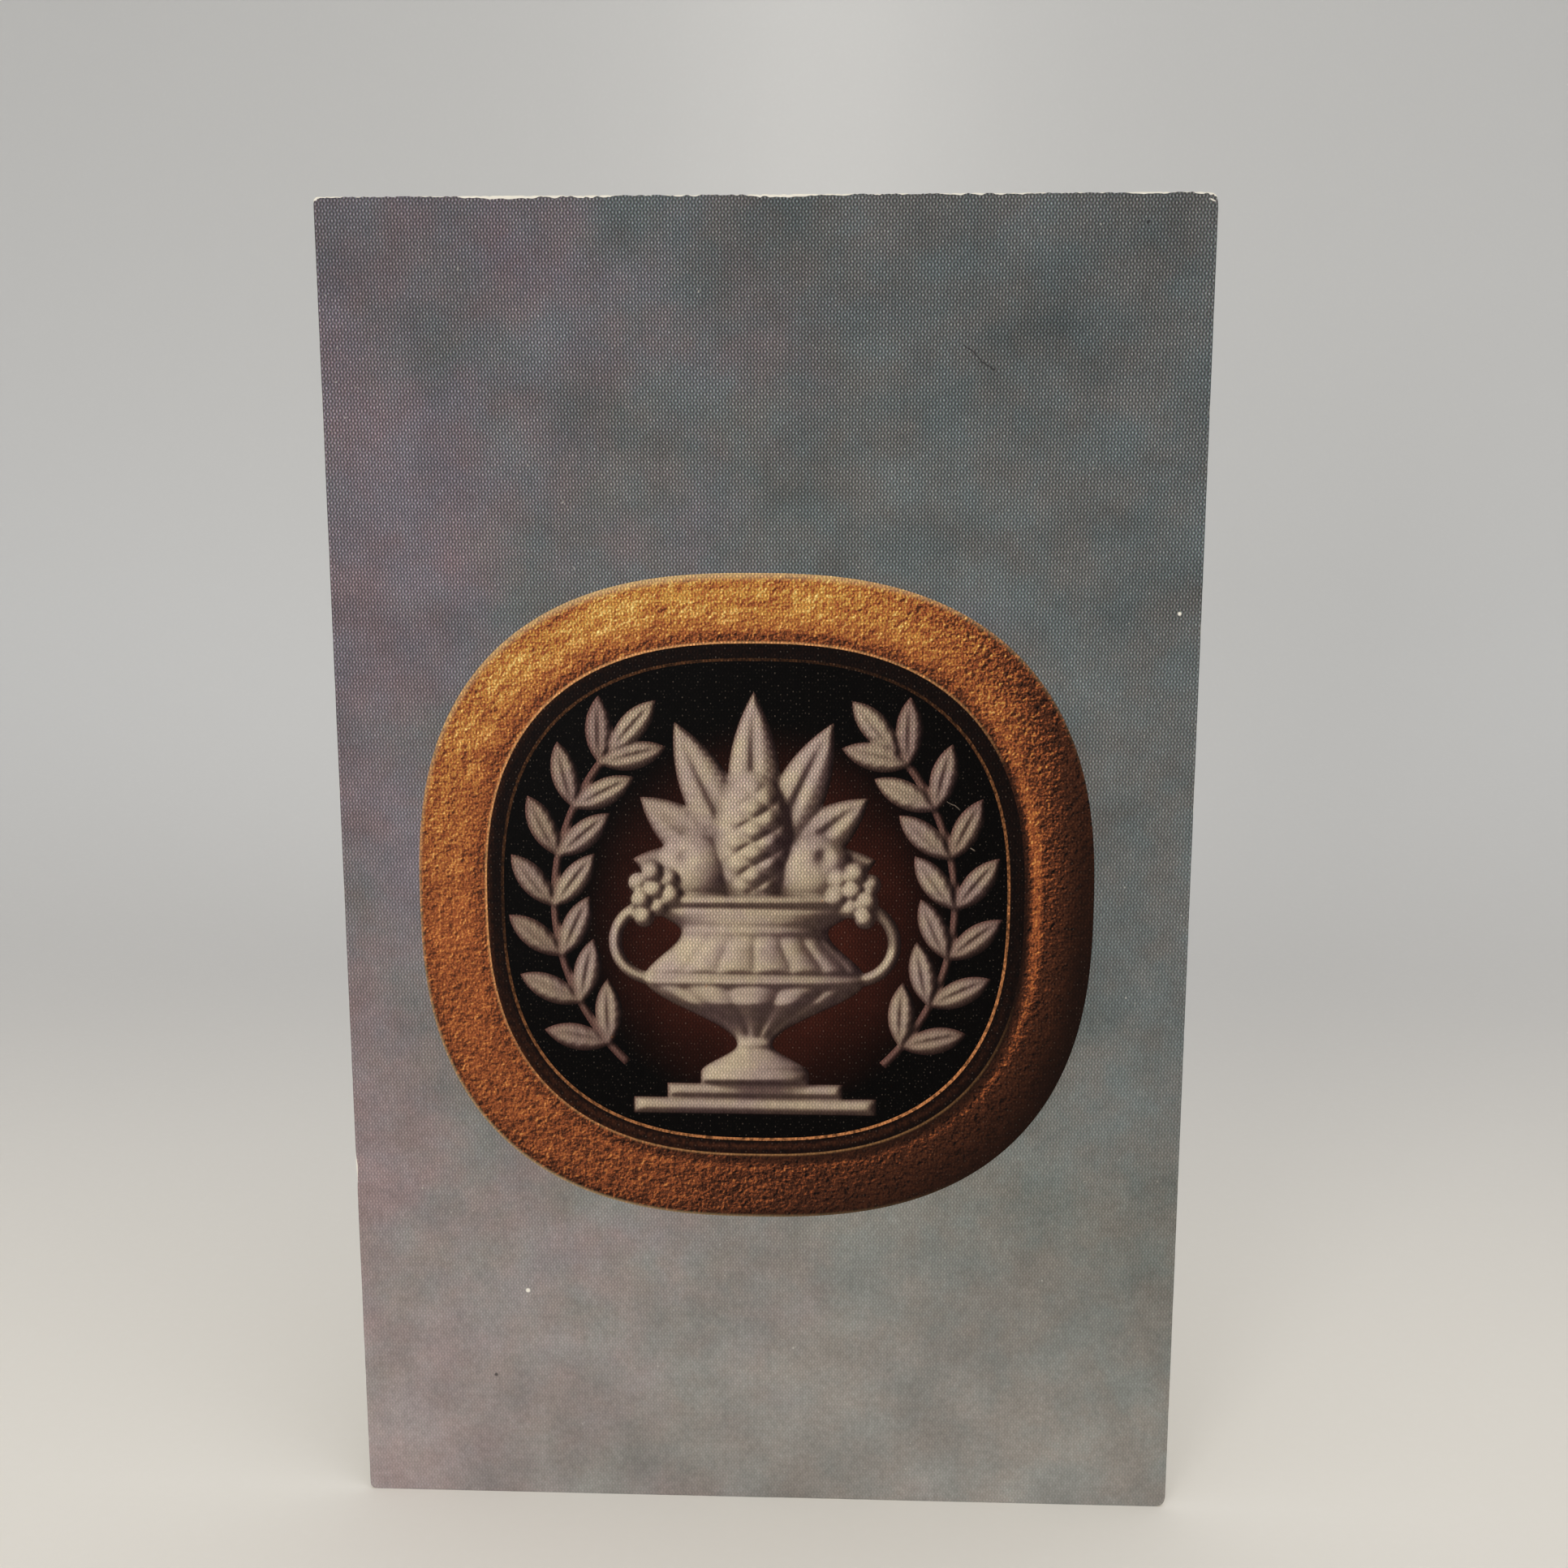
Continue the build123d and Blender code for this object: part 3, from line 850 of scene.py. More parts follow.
class Paint:
    """One material and its nodes."""

    def __init__(self, name):
        self.material = bpy.data.materials.new(name)
        self.material.use_nodes = True
        self.tree = self.material.node_tree
        self.shader = self.tree.nodes["Principled BSDF"].inputs
        self.shader["Specular IOR Level"].default_value = 0.04
        place = self.node("ShaderNodeTexCoord", output="Object")
        self.place = self.vector("MULTIPLY", place, (1 / MM,) * 3)
        self.x, self.z = self.axis("X"), self.axis("Z")

    def axis(self, name):
        """One coordinate of the place, in millimetres."""
        return self.node("ShaderNodeSeparateXYZ", inputs={0: self.place}, output=name)

    def node(self, kind, options=None, inputs=None, output=0):
        """Adds a node. Its options are set first, a ramp's stops among them, then its sockets."""
        node = self.tree.nodes.new(kind)
        for key, value in (options or {}).items():
            if key == "stops":
                ramp = node.color_ramp.elements
                while len(ramp) < len(value):
                    ramp.new(1)
                for stop, (position, level) in zip(ramp, value):
                    stop.position, stop.color = position, (*level, 1)
            else:
                setattr(node, key, value)
        for key, value in (inputs or {}).items():
            self.put(node.inputs[key], value)
        return Wire(self, node.outputs[output])

    def put(self, socket, value):
        """Links a wire to a socket, or gives the socket a value of its own length."""
        if isinstance(value, Wire):
            self.tree.links.new(value.socket, socket)
        elif hasattr(value, "__len__") and socket.type == "RGBA":
            socket.default_value = (*value, 1)
        else:
            socket.default_value = value

    def value(self, name):
        """A number that the mesh carries at its points."""
        return self.node("ShaderNodeAttribute", {"attribute_name": name}, output="Fac")

    def vector(self, operation, *inputs):
        """Vector Math on wires, colours or triples."""
        return self.node("ShaderNodeVectorMath", {"operation": operation}, dict(enumerate(inputs)))

    def mix(self, factor, a, b):
        """Colours a and b by a factor."""
        inputs = {0: factor, 6: a, 7: b}
        return self.node("ShaderNodeMix", {"data_type": "RGBA"}, inputs, output=2)

    def ramp(self, value, *stops):
        """Colours by a value, whose last stop is its highest."""
        top = stops[-1][0]
        stops = [(position / top, level) for position, level in stops]
        return self.node("ShaderNodeValToRGB", {"stops": stops}, {0: value * (1 / top)})

    def noise(
        self, size, detail=2.0, roughness=0.5, shift=0.0, stretch=(1, 1, 1), twist=0.0, aside=0.0
    ):
        """Noise whose features are about this many millimetres across, and which may be read a
        little aside, up and to the left."""
        move = (shift - aside, shift * 0.7, shift * 1.3 + aside)
        place = self.vector("MULTIPLY_ADD", self.place, stretch, move)
        inputs = {
            "Vector": place,
            "Scale": 1 / size,
            "Detail": detail,
            "Roughness": roughness,
            "Distortion": twist,
        }
        return self.node("ShaderNodeTexNoise", inputs=inputs)

    def beat(self, pitch, degrees, sway):
        """One pair of waves at right angles, the first the stronger, from -1 to 1, whose place
        sways a little with the grain."""
        k, c, s = 2 * pi / pitch, cos(radians(degrees)), sin(radians(degrees))
        along = (self.x * (k * c) + self.z * (k * s) + sway).cos()
        across = (self.z * (k * c) - self.x * (k * s) - sway).cos()
        return along * 0.7 + across * 0.3

    def screened(self, base, strength=1.0):
        """Prints a colour through three screens, 30 degrees apart.

        The dots of each are too fine to see, but pairs of screens beat with a pitch of p over
        2 sin 15, which makes the rosette: the sum of three pairs of waves s. The light is
        multiplied by e^(b s). The sum is cut off at its tops, as ink can't be lighter than the
        paper. The power b grows towards the card's top and sways with the grain, and a share of
        its square keeps the mean level. Each channel leans towards one pair.
        """
        screen = settings().screen
        grain = self.noise(0.6, 2.0, shift=61)
        sway = (grain - 0.5) * 1.6
        pitch = screen.pitch / MM / (2 * sin(radians(SCREENS_APART / 2)))
        turns = (0, SCREENS_APART, -SCREENS_APART)
        waves = [self.beat(pitch, degrees, sway) for degrees in turns]
        self.rosette = waves[0] + waves[1] + waves[2]
        full_from = 130
        power = self.z.step(0, full_from) * (screen.depth - screen.faint) + screen.faint
        power = power * (grain * 0.7 + 0.55) * strength
        level = (grain - 0.5) * 0.5 - power * power * 0.34
        tops = self.rosette.at_most(2.0)
        factors = [((tops * 0.92 + wave * 0.24) * power + level).exp() for wave in waves]
        factor = self.node("ShaderNodeCombineXYZ", inputs=dict(enumerate(factors)))
        return self.vector("MULTIPLY", base, factor)

    def specks(self, base, level):
        """Lets the paper show as tiny light dots between the ink's, here and there."""
        open_dots = self.rosette.step(1.1, 2.3)
        chance = self.noise(0.5, 1.0, shift=31).step(0.46, 0.7)
        return self.mix(open_dots * chance * level, base, settings().relief.stone)

    def finish(self, base, roughness=None, height=None, depth=0.004, strength=0.5):
        """Connects the colour, a roughness that varies and a bump, whose depth is in millimetres.

        A print needs only its colour: it is satin, rubbed a little duller and shinier in
        patches, over the tooth of its paper.
        """
        if roughness is None:
            roughness = self.noise(9.0, 3.0, shift=17) * 0.16 + 0.36
        if height is None:
            height = self.noise(0.28, 3.0, shift=5)
        inputs = {"Height": height, "Distance": depth * MM, "Strength": strength}
        self.put(self.shader["Base Color"], base)
        self.put(self.shader["Roughness"], roughness)
        self.put(self.shader["Normal"], self.node("ShaderNodeBump", inputs=inputs))
        return self.material


def spot(paint, x, z, radius):
    """A soft round spot at a place on the card."""
    out = ((paint.x - x) ** 2 + (paint.z - z) ** 2) ** 0.5
    return 1 - out.step(radius * 0.5, radius * 1.3)


def scratch(paint, first, last, width):
    """A thin line between two places: the distance to the line, held between its ends."""
    run = np.subtract(last, first)
    long = float(np.hypot(*run))
    c, s = run / long
    wander = (paint.noise(1.6, 2.0, shift=3) - 0.5) * 0.8
    along = (paint.x - first[0]) * c + (paint.z - first[1]) * s
    across = (paint.z - first[1]) * c - (paint.x - first[0]) * s + wander
    beside = 1 - across.abs().step(width * 0.4, width)
    return beside * along.step(0, 0.3) * (1 - along.step(long - 0.3, long))


def ground_paint():
    """Soft clouds: grey that lightens downwards by a ramp over the height, which broad noise
    bends. The ramp is partly the print's own grey and partly painted light: darker towards the
    top and lighter towards the foot. It is tinted violet on the left and green on the right,
    with finer blue and rose patches over both, lighter and darker in blotches of two sizes,
    then screened. A scratch, a crease and a few specks lie on top."""
    ground = settings().ground
    paint = Paint("MottledGround")
    cloud = ground.cloud / MM
    drift = paint.noise(cloud, 3.0, 0.5, shift=2.5)
    height = paint.z + (drift - 0.5) * 34 + (paint.x - 5).at_least(0) * 0.55
    # Painted light: this ramp darkens the ground towards the top and lightens it towards the foot,
    # on top of the print's own grey.
    stops = (
        (0.0, ground.bottom),
        (0.14, ground.bottom),
        (0.34, ground.low),
        (0.55, ground.middle),
        (1.0, ground.top),
    )
    grey = paint.ramp(height / card_size[2], *stops)
    veil = paint.noise(cloud * 0.7, 4.0, 0.55, shift=9.0)
    lean = ((veil - 0.5) * 3.6 - paint.x * 0.03 - 0.7).step(-1.1, 1.1)
    patch = paint.noise(cloud * 0.3, 4.0, 0.6, shift=19.0)
    fade = 0.62 - (1 - height.step(0, 60)) * 0.3
    tint = paint.vector("DIVIDE", paint.mix(lean, ground.green, ground.violet), ground.middle)
    fine = paint.mix(patch.step(0.3, 0.7), ground.blue, ground.rose)
    fine = paint.vector("DIVIDE", fine, ground.middle)
    tinted = paint.mix(fade, grey, paint.vector("MULTIPLY", grey, tint))
    tinted = paint.mix(fade, tinted, paint.vector("MULTIPLY", tinted, fine))
    mottle = paint.noise(5.0, 4.0, 0.62, shift=33)
    light = (drift - 0.5) * 0.8 + (mottle - 0.5) * 0.62 + 1
    base = paint.screened(paint.vector("MULTIPLY", tinted, light))
    dark, light = (
        spot(paint, *spots[0]).at_least(spot(paint, *spots[1])).at_least(scratch(paint, *line))
        for spots, line in ((DARK_SPOTS, SCRATCH), (LIGHT_SPOTS, CREASE))
    )
    rare = paint.noise(0.5, 0.0, shift=44).step(0.86, 0.9)
    base = paint.mix(dark * 0.75, base, linear(42, 40, 42))
    base = paint.mix(light.at_least(rare * 0.3), base, settings().paper.coating)
    return paint.finish(base)


def metal_wrinkles(paint, size):
    """Leathery wrinkles, lit from the upper left: noise less the same noise read a little aside,
    at two sizes, over light threads where bent noise crosses its middle value."""
    level = 0.5
    for scale, strength, shift in ((size, 1.7, 21), (size * 0.5, 1.5, 37)):
        lit, behind = (
            paint.noise(scale, 1.0, 0.5, shift, twist=0.4, aside=aside)
            for aside in (0, scale * 0.22)
        )
        level = (lit - behind) * strength + level
    fold = paint.noise(size * 0.9, 1.0, 0.5, shift=53, twist=0.5)
    threads = 1 - ((fold - 0.5).abs() * 7).at_most(1)
    return (level * 0.75 + threads * 0.25).at_least(0).at_most(1)


def ring_paint():
    """Gold that follows the light worked out for each point of the frame: night, umber, copper
    and gold by its tone, yellower where the point is warm, broken by blotches and by wrinkles,
    whose contrast is strongest in half light."""
    ring = settings().ring
    paint = Paint("GoldFrame")
    tone, warm = paint.value("Tone"), paint.value("Warm")
    threads = metal_wrinkles(paint, ring.wrinkle / MM)
    blotch = paint.noise(2.6, 3.0, 0.6, shift=6)
    contrast = (1.5 - tone * 0.95) * tone.step(0, 0.5)
    level = tone * (0.95 + (blotch - 0.5) * 0.6) + (threads - 0.5) * contrast
    shade = ((0, ring.night), (0.42, ring.umber))
    red = paint.ramp(level, *shade, (0.83, ring.copper), (1.2, ring.amber))
    yellow = ((0.66, ring.copper), (0.92, ring.brass), (1.2, ring.gold))
    yellow = paint.ramp(level, *shade, *yellow)
    base = paint.mix(warm + (threads - 0.5) * 0.5, red, yellow)
    base = paint.mix(paint.value("Rim") * (0.55 + threads * 0.7), base, ring.rim)
    base = paint.mix(paint.value("Halo"), base, ring.halo)
    base = paint.specks(paint.screened(base, 0.6), settings().screen.speck * 0.6)
    return paint.finish(base)


def line_paint(name, low, high):
    """A dark or bright line of the frame, between two colours by its tone."""
    paint = Paint(name)
    grain = paint.noise(0.5, 2.0, shift=11)
    level = paint.value("Tone") * (grain.step(0.3, 0.65) * 0.9 + 0.25)
    base = paint.screened(paint.mix(level, low, high), 0.8)
    return paint.finish(paint.specks(base, settings().screen.speck))


def stone_colour(paint):
    """The stone by its tone and thickness, warmer and cooler in clouds, with a few rusty stains."""
    relief = settings().relief
    tone = paint.value("Tone") + (paint.noise(0.9, 3.0, shift=12) - 0.5) * 0.12
    stops = ((0, relief.deep), (0.28, relief.shade), (0.58, relief.stone), (1, relief.cream))
    solid = paint.ramp(tone, *stops)
    cloud = paint.noise(6.0, 3.0, 0.55, shift=51).step(0.38, 0.64)
    tint = paint.vector("DIVIDE", paint.mix(cloud, relief.warm, relief.cool), relief.stone)
    solid = paint.vector("MULTIPLY", solid, tint)
    stain = paint.noise(1.7, 2.0, 0.5, shift=73).step(0.72, 0.8)
    solid = paint.mix(stain * 0.55, solid, relief.stain)
    thin = paint.mix(tone * 1.3, relief.field, relief.thin)
    return paint.mix(paint.value("Stone"), thin, solid)


def stone_paint(name):
    """The relief's stone, screened."""
    paint = Paint(name)
    return paint.finish(paint.screened(stone_colour(paint), 0.9))


def field_paint():
    """Near-black, with a brown glow low in the middle, soft stone edges, specks and hairs."""
    relief = settings().relief
    paint = Paint("DarkField")
    out = ((paint.x - oval_centre[0] - 1) / 20) ** 2 + ((paint.z - oval_centre[1] + 2) / 22) ** 2
    glow = (1 - out.step(0, 1)) * (0.35 + paint.noise(6.0, 2.0, shift=8) * 0.9)
    dark = paint.mix(glow, relief.field, relief.glow)
    base = paint.mix(paint.value("Stone"), dark, stone_colour(paint))
    base = paint.specks(paint.screened(base), settings().screen.speck)
    hairs = scratch(paint, *HAIR).at_least(scratch(paint, *FAINT_HAIR) * 0.7)
    base = paint.mix(hairs * 0.6, base, relief.stone)
    return paint.finish(base)


def paper_paint(name, tint, toning=None):
    """Paper: fibres in two directions over a soft mottle, with age along the card's edges."""
    sheet = settings().paper
    paint = Paint(name)
    fibres, across = (
        paint.noise(sheet.fibre / MM, 3.0, 0.6, shift, stretch)
        for shift, stretch in ((0, (0.35, 1, 1)), (4, (1, 1, 0.35)))
    )
    fibres = fibres + across
    mottle = paint.noise(5.0, 3.0, shift=8)
    base = paint.mix((fibres - 0.6) * 0.45, tint, [level * 0.84 for level in tint])
    base = paint.mix((mottle - 0.35) * 0.3, base, [level * 0.9 for level in tint])
    if toning:
        side = card_size[0] / 2 - (paint.x - card_middle).abs()
        end = card_size[2] / 2 - (paint.z - card_size[2] / 2).abs()
        near = side.at_most(end) + (paint.noise(4.0, 3.0, shift=3) - 0.5) * 5
        base = paint.mix((1 - near.step(0, 7.0)) * 0.55, base, toning)
        fox = paint.noise(1.3, 2.0, 0.6, shift=29).step(0.74, 0.82)
        base = paint.mix(fox * 0.3, base, linear(176, 146, 104))
    return paint.finish(base, mottle * 0.14 + 0.74, fibres, 0.012, 0.6)


def message_ink():
    """Line ink on uncoated paper: greyer where the fibres took less of it."""
    sheet = settings().paper
    paint = Paint("MessageInk")
    gaps = paint.noise(0.22, 3.0, 0.65, shift=2)
    base = paint.mix(gaps.step(0.5, 0.85) * 0.55, sheet.ink, sheet.liner)
    return paint.finish(base, gaps * 0.2 + 0.6, gaps, 0.006)


# Operators, one for each piece or group of like pieces


class POSTCARD_OT_board(bpy.types.Operator):
    """Make the plies of the board and the coating, each a worn slab"""

    bl_idname = "postcard.board"
    bl_label = "Board"

    def execute(self, context):
        sheet, wear = settings().paper, settings().wear
        plies = (
            ("back_liner", "liner", "MessagePaper", sheet.liner, sheet.tone),
            ("core_ply_back", "board", "PulpBack", sheet.board),
            ("core_ply_middle", "board", "PulpMiddle", sheet.board),
            ("core_ply_front", "board", "PulpFront", sheet.board),
            ("front_liner", "liner", "FrontPaper", sheet.liner),
            ("clay_coat", "coating", "ClayCoat", sheet.coating),
        )
        for number, (node, slot, *look) in enumerate(plies):
            low, size = span(node)
            back = low[1] + size[1]
            if node == "back_liner":  # its ink stands a little proud of it
                back -= span("divider_line")[1][1] * 0.4
            grid = slab(card_edge(wear, number), back, low[1])
            raise_surface("Board_" + node, [grid], paper_paint(*look), node, slot)
        return {"FINISHED"}


class POSTCARD_OT_message_side(bpy.types.Operator):
    """Ink the divider, the address lines and the stamp box on the message side"""

    bl_idname = "postcard.message_side"
    bl_label = "Message Side"

    def execute(self, context):
        ink = message_ink()
        for node in ("divider_line", "address_lines", "stamp_box"):
            dress(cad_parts[node], ink)
        return {"FINISHED"}


class POSTCARD_OT_ground(bpy.types.Operator):
    """Print the mottled ground between the worn edge and the oval"""

    bl_idname = "postcard.ground"
    bl_label = "Ground Print"

    def execute(self, context):
        edge = card_edge(settings().wear, 5, ink=True)
        toward = edge - oval_centre
        inner = oval_centre + oval(ring_size, np.arctan2(toward[:, 1], toward[:, 0]))
        rows = [(0, print_back), (0, print_front), (0.5, print_front), (1, print_front)]
        rows.append((1, print_back))
        grid = np.stack([stand(edge + (inner - edge) * part, depth) for part, depth in rows])
        paint = ground_paint()
        raise_surface("Print_ground", [grid], paint, "background_print", "grey_ink", hoop=True)
        return {"FINISHED"}


def lobe(angle, direction, power, strength=1.0):
    """Light that falls off round the frame from one direction: a clipped cosine to a power."""
    return strength * np.maximum(np.cos(angle - radians(direction)), 0) ** power


def frame_light(angle, across):
    """The light on the gold frame, round it and across it from its outer edge.

    The tone is a cosine with its top at the upper left, with lobes of light at the top right, at
    the foot and on the left. It is less along the outer edge below and on the right, broken by
    two folds at the upper left, and dim on the inner bevel, where three ridges shine. Warm is how
    yellow the gold is, most at the top. The rim is the thin line along the inner edge, and the
    halo blurs the outer edge into the ground.
    """
    tone = 44 + 48 * (1 + np.cos(angle - radians(138)))
    tone = tone + lobe(angle, 62, 1.5, 42) + lobe(angle, 245, 2, 22) + lobe(angle, 170, 2, 10)
    tone = tone * (1 - bell(across, 0, 0.13) * lobe(angle, 270, 0.5, 0.42))
    tone = tone * (1 - (1 - smooth(0.1, 0.75, across)) * lobe(angle, -14, 1.4, 0.82))
    folds = bell(across, 0.3, 0.09) + bell(across, 0.56, 0.08)
    tone = tone + (folds - 0.5) * lobe(angle, 125, 1.3, 22)
    bevel = smooth(0.77, 0.9, across)
    tone = tone * (1 - 0.3 * bevel * (1 - lobe(angle, 190, 1, 0.6)))
    tone = tone * (1 - bevel * lobe(angle, 315, 1.5, 0.4))
    tone = tone + bell(across, 0.79, 0.055) * lobe(angle, -12, 5, 70)
    tone = tone + bell(across, 0.87, 0.05) * lobe(angle, 6, 7, 80)
    tone = tone + bell(across, 0.78, 0.05) * lobe(angle, 262, 4, 26)
    tone = tone * (1 - smooth(0.93, 0.97, across) * lobe(angle, -25, 0.8, 0.6))
    warm = lobe(angle, 92, 0.8, 0.95) * (1 - 0.7 * smooth(0.3, 0.95, across)) + 0.08
    rim = bell(across, 0.985, 0.016) * (lobe(angle, 120, 0.6, 0.9) + lobe(angle, 250, 1, 0.45))
    blurred = 1 - smooth(0, 1, across / (0.05 + lobe(angle, 105, 2, 0.09)))
    halo = (lobe(angle, 105, 1.8, 0.75) + lobe(angle, 225, 2, 0.5)) * blurred
    return {"Tone": [tone / 180], "Warm": [warm], "Rim": [rim], "Halo": [halo]}


def groove_light(angle, across):
    """Dark, with faint light on its outer wall at the left and on its floor at the foot."""
    wall = bell(across, 0, 0.25) * lobe(angle, 200, 1, 0.4)
    return {"Tone": [wall + 0.05 + bell(across, 0.55, 0.22) * lobe(angle, 265, 1.5, 0.5)]}


def bezel_light(angle, across):
    """Bright at the foot and on the right, faint at the upper left, the same all across."""
    tone = 0.01 + lobe(angle, 272, 1.2, 0.8) + lobe(angle, -15, 2.5, 0.6)
    return {"Tone": [tone + lobe(angle, 128, 2, 0.12)]}


class POSTCARD_OT_ring(bpy.types.Operator):
    """Print the gold frame, its groove and the thin bright line as bands between ovals"""

    bl_idname = "postcard.ring"
    bl_label = "Gold Frame Print"

    def execute(self, context):
        ring = settings().ring
        angle = np.linspace(0, 2 * pi, 900, endpoint=False)
        ovals = [oval(size, angle) for size in (ring_size, groove_size, bezel_size, field_size)]
        groove = line_paint("FrameGroove", ring.groove, ring.umber)
        bezel = line_paint("FrameBezel", ring.groove, ring.bezel)
        bands = (
            (76, frame_light, "Print_gold_frame", ring_paint(), "ring_print", "gold_ink"),
            (12, groove_light, "Print_groove", groove, "groove_print", "dark_ink"),
            (6, bezel_light, "Print_bezel", bezel, "bezel_print", "bezel_ink"),
        )
        for outer, inner, (rows, light, name, *look) in zip(ovals, ovals[1:], bands):
            grid, across = band(outer, inner, rows)
            values = light(np.broadcast_to(angle, across.shape), across)
            raise_surface(name, [grid], *look, hoop=True, **values)
        return {"FINISHED"}


class POSTCARD_OT_field(bpy.types.Operator):
    """Print the dark field: rings of ovals from its back's middle over its edge to its front's"""

    bl_idname = "postcard.field"
    bl_label = "Field Print"

    def execute(self, context):
        picture = printed_relief()[1]
        angle = np.linspace(0, 2 * pi, 640, endpoint=False)
        scale = np.concatenate([[0, 1], np.linspace(1, 0, 130)])[:, None, None]
        flat = oval(field_size, angle) * scale
        depth = np.full(flat.shape[:2], field_face)
        depth[:2] = print_back
        values = picture.marks([flat], 0.55)
        grid = stand(flat + oval_centre, depth)
        raise_surface("Print_field", [grid], field_paint(), "field_print", "dark_ink", **values)
        return {"FINISHED"}


def print_relief(node, name, material):
    """Makes the piece that stands for one node of the relief, from its pressed forms."""
    forms, picture = printed_relief()
    grids, flats = zip(*(press(form) for form in forms[node]))
    values = picture.marks(flats)
    raise_surface(name, grids, stone_paint(material), node, "relief_ink", **values)


class POSTCARD_OT_plinth(bpy.types.Operator):
    """Print the stepped plinth"""

    bl_idname = "postcard.plinth"
    bl_label = "Plinth Print"

    def execute(self, context):
        print_relief("plinth_print", "Print_plinth", "StonePlinth")
        return {"FINISHED"}


class POSTCARD_OT_urn(bpy.types.Operator):
    """Print the urn and its handles"""

    bl_idname = "postcard.urn"
    bl_label = "Urn Print"

    def execute(self, context):
        print_relief("urn_print", "Print_urn", "StoneUrn")
        return {"FINISHED"}


class POSTCARD_OT_heap(bpy.types.Operator):
    """Print the fruit, the cone and the grapes"""

    bl_idname = "postcard.heap"
    bl_label = "Fruit Print"

    def execute(self, context):
        print_relief("fruit_print", "Print_fruit", "StoneFruit")
        print_relief("grape_print", "Print_grapes", "StoneGrapes")
        return {"FINISHED"}


class POSTCARD_OT_leaves(bpy.types.Operator):
    """Print the fan of leaves and the two sprays of laurel"""

    bl_idname = "postcard.leaves"
    bl_label = "Leaf Print"

    def execute(self, context):
        print_relief("fan_leaf_print", "Print_fan_leaves", "StoneFan")
        print_relief("laurel_print_right", "Print_laurel_right", "StoneLaurelRight")
        print_relief("laurel_print_left", "Print_laurel_left", "StoneLaurelLeft")
        return {"FINISHED"}


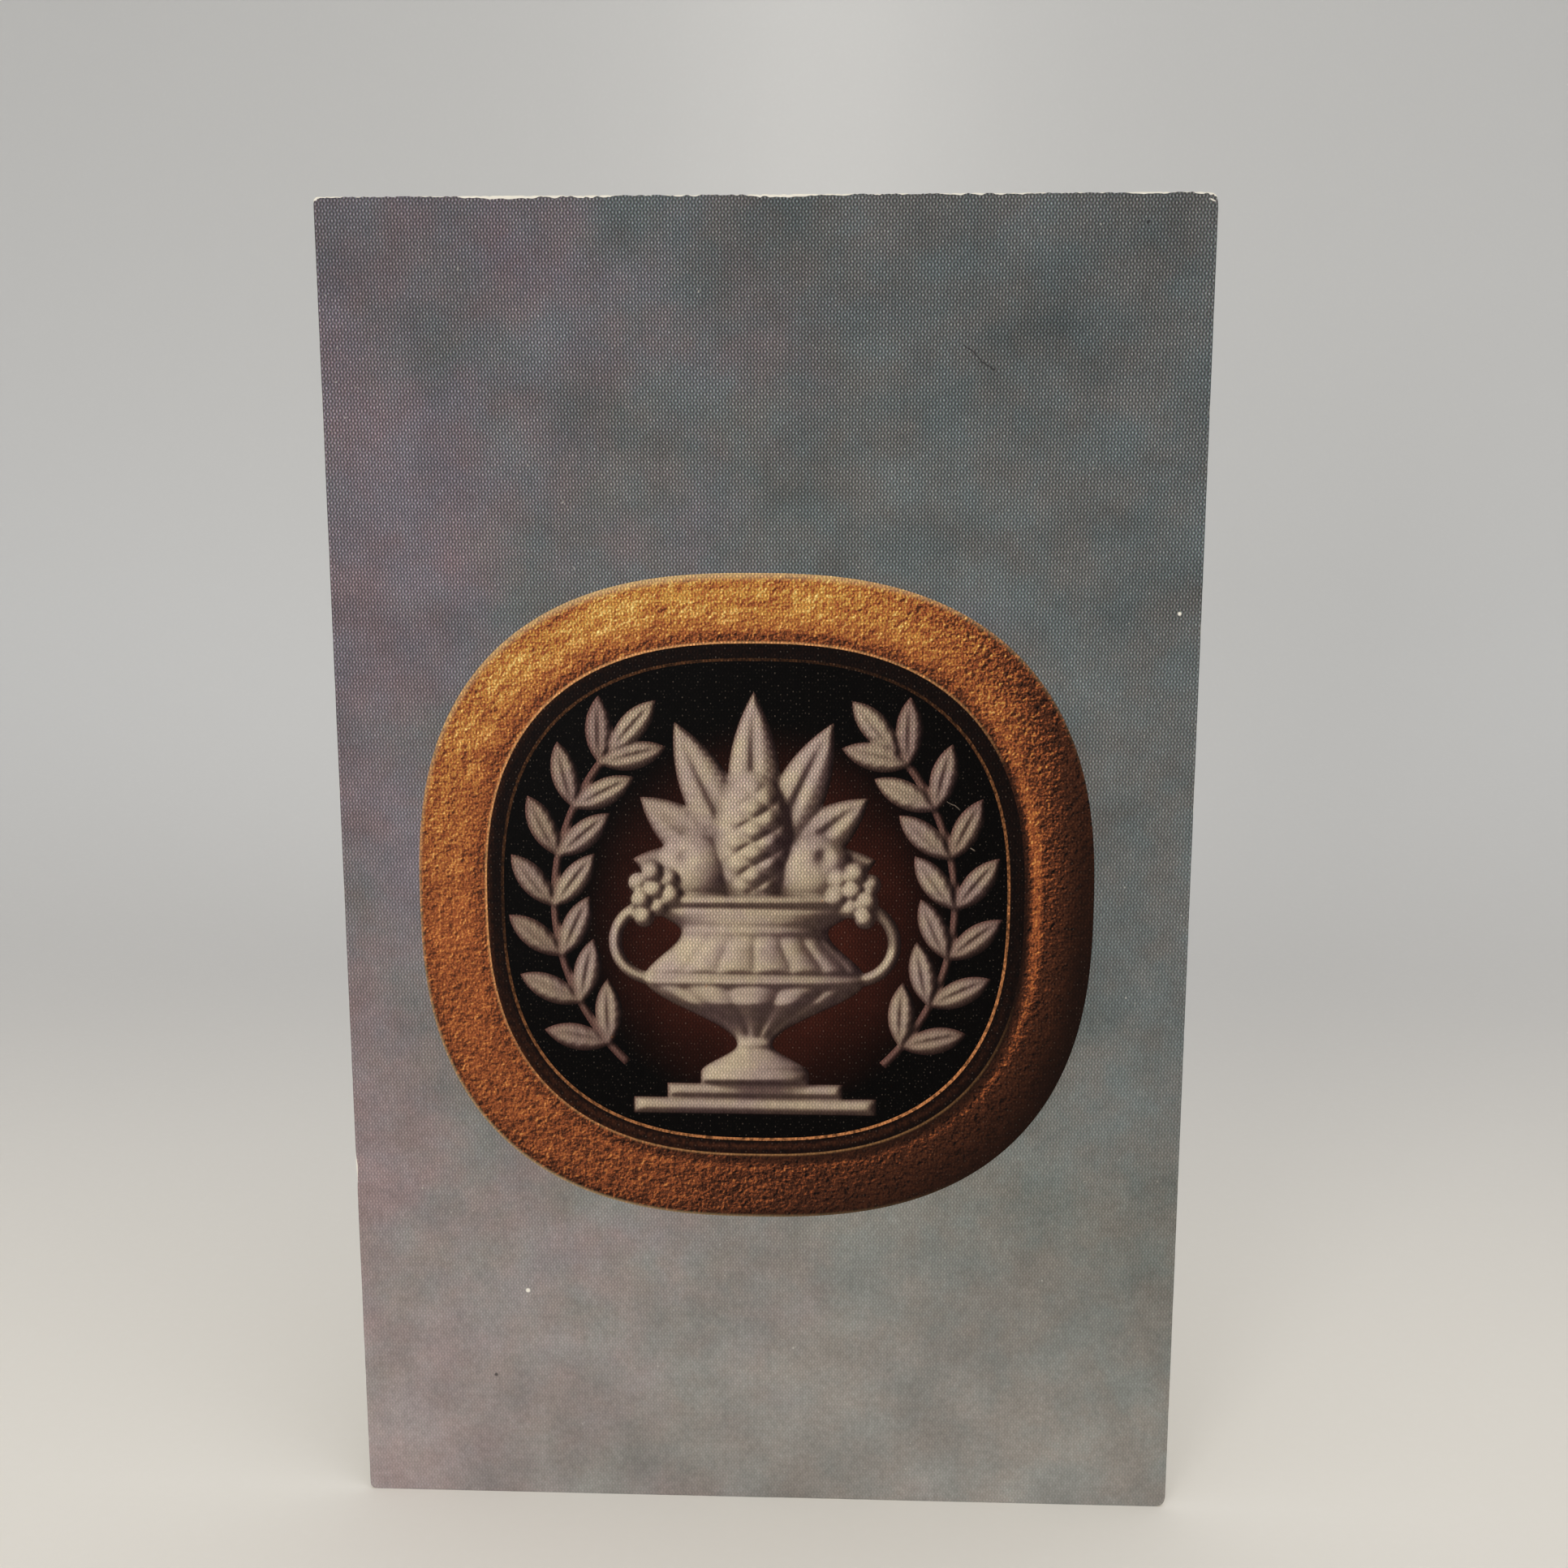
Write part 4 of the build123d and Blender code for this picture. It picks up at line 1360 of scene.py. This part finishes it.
class POSTCARD_OT_stage(bpy.types.Operator):
    """Make the seamless sweep, a dish that rises by a quarter of an ellipse and sooner behind the
    card, the lamps, the world and the camera"""

    bl_idname = "postcard.stage"
    bl_label = "Stage"

    def execute(self, context):
        stage = settings().stage
        paint = Paint("SweepPaper")
        weave = paint.noise(1.1, 2.0, shift=1)
        y = paint.axis("Y")
        # Painted light: the sweep is lighter in front of the card, darker beside and behind it as a
        # painted shade of the card, and lighter again where it rises.
        base = paint.mix(y.step(-40, 230), stage.floor, stage.behind)
        base = paint.mix(y.step(150, 420), base, stage.far)
        base = paint.mix((weave - 0.5) * 0.1, base, linear(255, 255, 255))
        paint.put(paint.shader["Base Color"], base)
        paint.put(paint.shader["Roughness"], 0.9)

        level, reach, top, rows = 240, 1100, 700, 5
        angle = np.linspace(0, 2 * pi, 96, endpoint=False)
        climb = np.linspace(0, pi / 2, 24)[:, None]
        wide = reach + (stage.near_wall / MM - level - reach) * lobe(angle, 90, 4)
        start = level * np.linspace(0, 1, rows)[:, None] + 0 * angle
        out = np.vstack([start, level + wide * np.sin(climb)])
        height = np.vstack([0 * start, top * (1 - np.cos(climb)) + 0 * angle])
        grid = np.stack([out * np.cos(angle), out * np.sin(angle), height], -1)
        sweep = raise_surface("Sweep", [grid], paint.material)
        sweep.data.shade_smooth()

        world = bpy.data.worlds.new("EvenLight")
        world.use_nodes = True
        light = world.node_tree.nodes["Background"].inputs
        light["Color"].default_value = (1, 1, 1, 1)
        light["Strength"].default_value = stage.world
        context.scene.world = world

        lamps = (
            ("Key", (-0.3, -0.7, 0.15), (0, 0, 0.07), 0.22, stage.key),
            ("Fill", (0.1, -0.25, 0.95), (0, 0, 0.05), 0.8, stage.fill),
        )
        for name, place, target, size, power in lamps:
            light = bpy.data.lights.new(name, "AREA")
            light.size, light.energy = size, power
            lamp = bpy.data.objects.new(name, light)
            context.scene.collection.objects.link(lamp)
            lamp.location = place
            aim = Vector(target) - Vector(place)
            lamp.rotation_euler = aim.to_track_quat("-Z", "Y").to_euler()

        camera = bpy.data.objects.new("Camera", bpy.data.cameras.new("Camera"))
        context.scene.collection.objects.link(camera)
        camera.data.lens = stage.lens
        camera.data.sensor_width = 36
        camera.data.clip_start = 0.01
        camera.location = stage.place
        camera.rotation_euler = Vector(stage.aim).to_track_quat("-Z", "Y").to_euler()
        context.scene.camera = camera
        context.scene.view_settings.view_transform = "Standard"
        return {"FINISHED"}


OPERATORS = (
    POSTCARD_OT_board,
    POSTCARD_OT_message_side,
    POSTCARD_OT_ground,
    POSTCARD_OT_ring,
    POSTCARD_OT_field,
    POSTCARD_OT_plinth,
    POSTCARD_OT_urn,
    POSTCARD_OT_heap,
    POSTCARD_OT_leaves,
    POSTCARD_OT_stage,
)


class POSTCARD_PT_panel(bpy.types.Panel):
    """Settings and steps of the postcard"""

    bl_idname = "POSTCARD_PT_panel"
    bl_label = "Postcard"
    bl_space_type = "VIEW_3D"
    bl_region_type = "UI"
    bl_category = "Postcard"

    def draw(self, context):
        card = context.scene.postcard
        for part in PostcardSettings.__annotations__:
            group = getattr(card, part)
            box = self.layout.box()
            box.label(text=group.bl_rna.description)
            for key in group.__annotations__:
                box.prop(group, key)
        for operator in OPERATORS:
            self.layout.operator(operator.bl_idname)


CLASSES = (
    WearSettings,
    ScreenSettings,
    GroundSettings,
    RingSettings,
    ReliefSettings,
    PaperSettings,
    StageSettings,
    PostcardSettings,
    *OPERATORS,
    POSTCARD_PT_panel,
)


def register():
    for cls in CLASSES:
        bpy.utils.register_class(cls)
    bpy.types.Scene.postcard = PointerProperty(type=PostcardSettings)


def unregister():
    del bpy.types.Scene.postcard
    for cls in reversed(CLASSES):
        bpy.utils.unregister_class(cls)


def main():
    register()
    for operator in OPERATORS:
        group, name = operator.bl_idname.split(".")
        getattr(getattr(bpy.ops, group), name)()


if __name__ == "__main__":
    main()
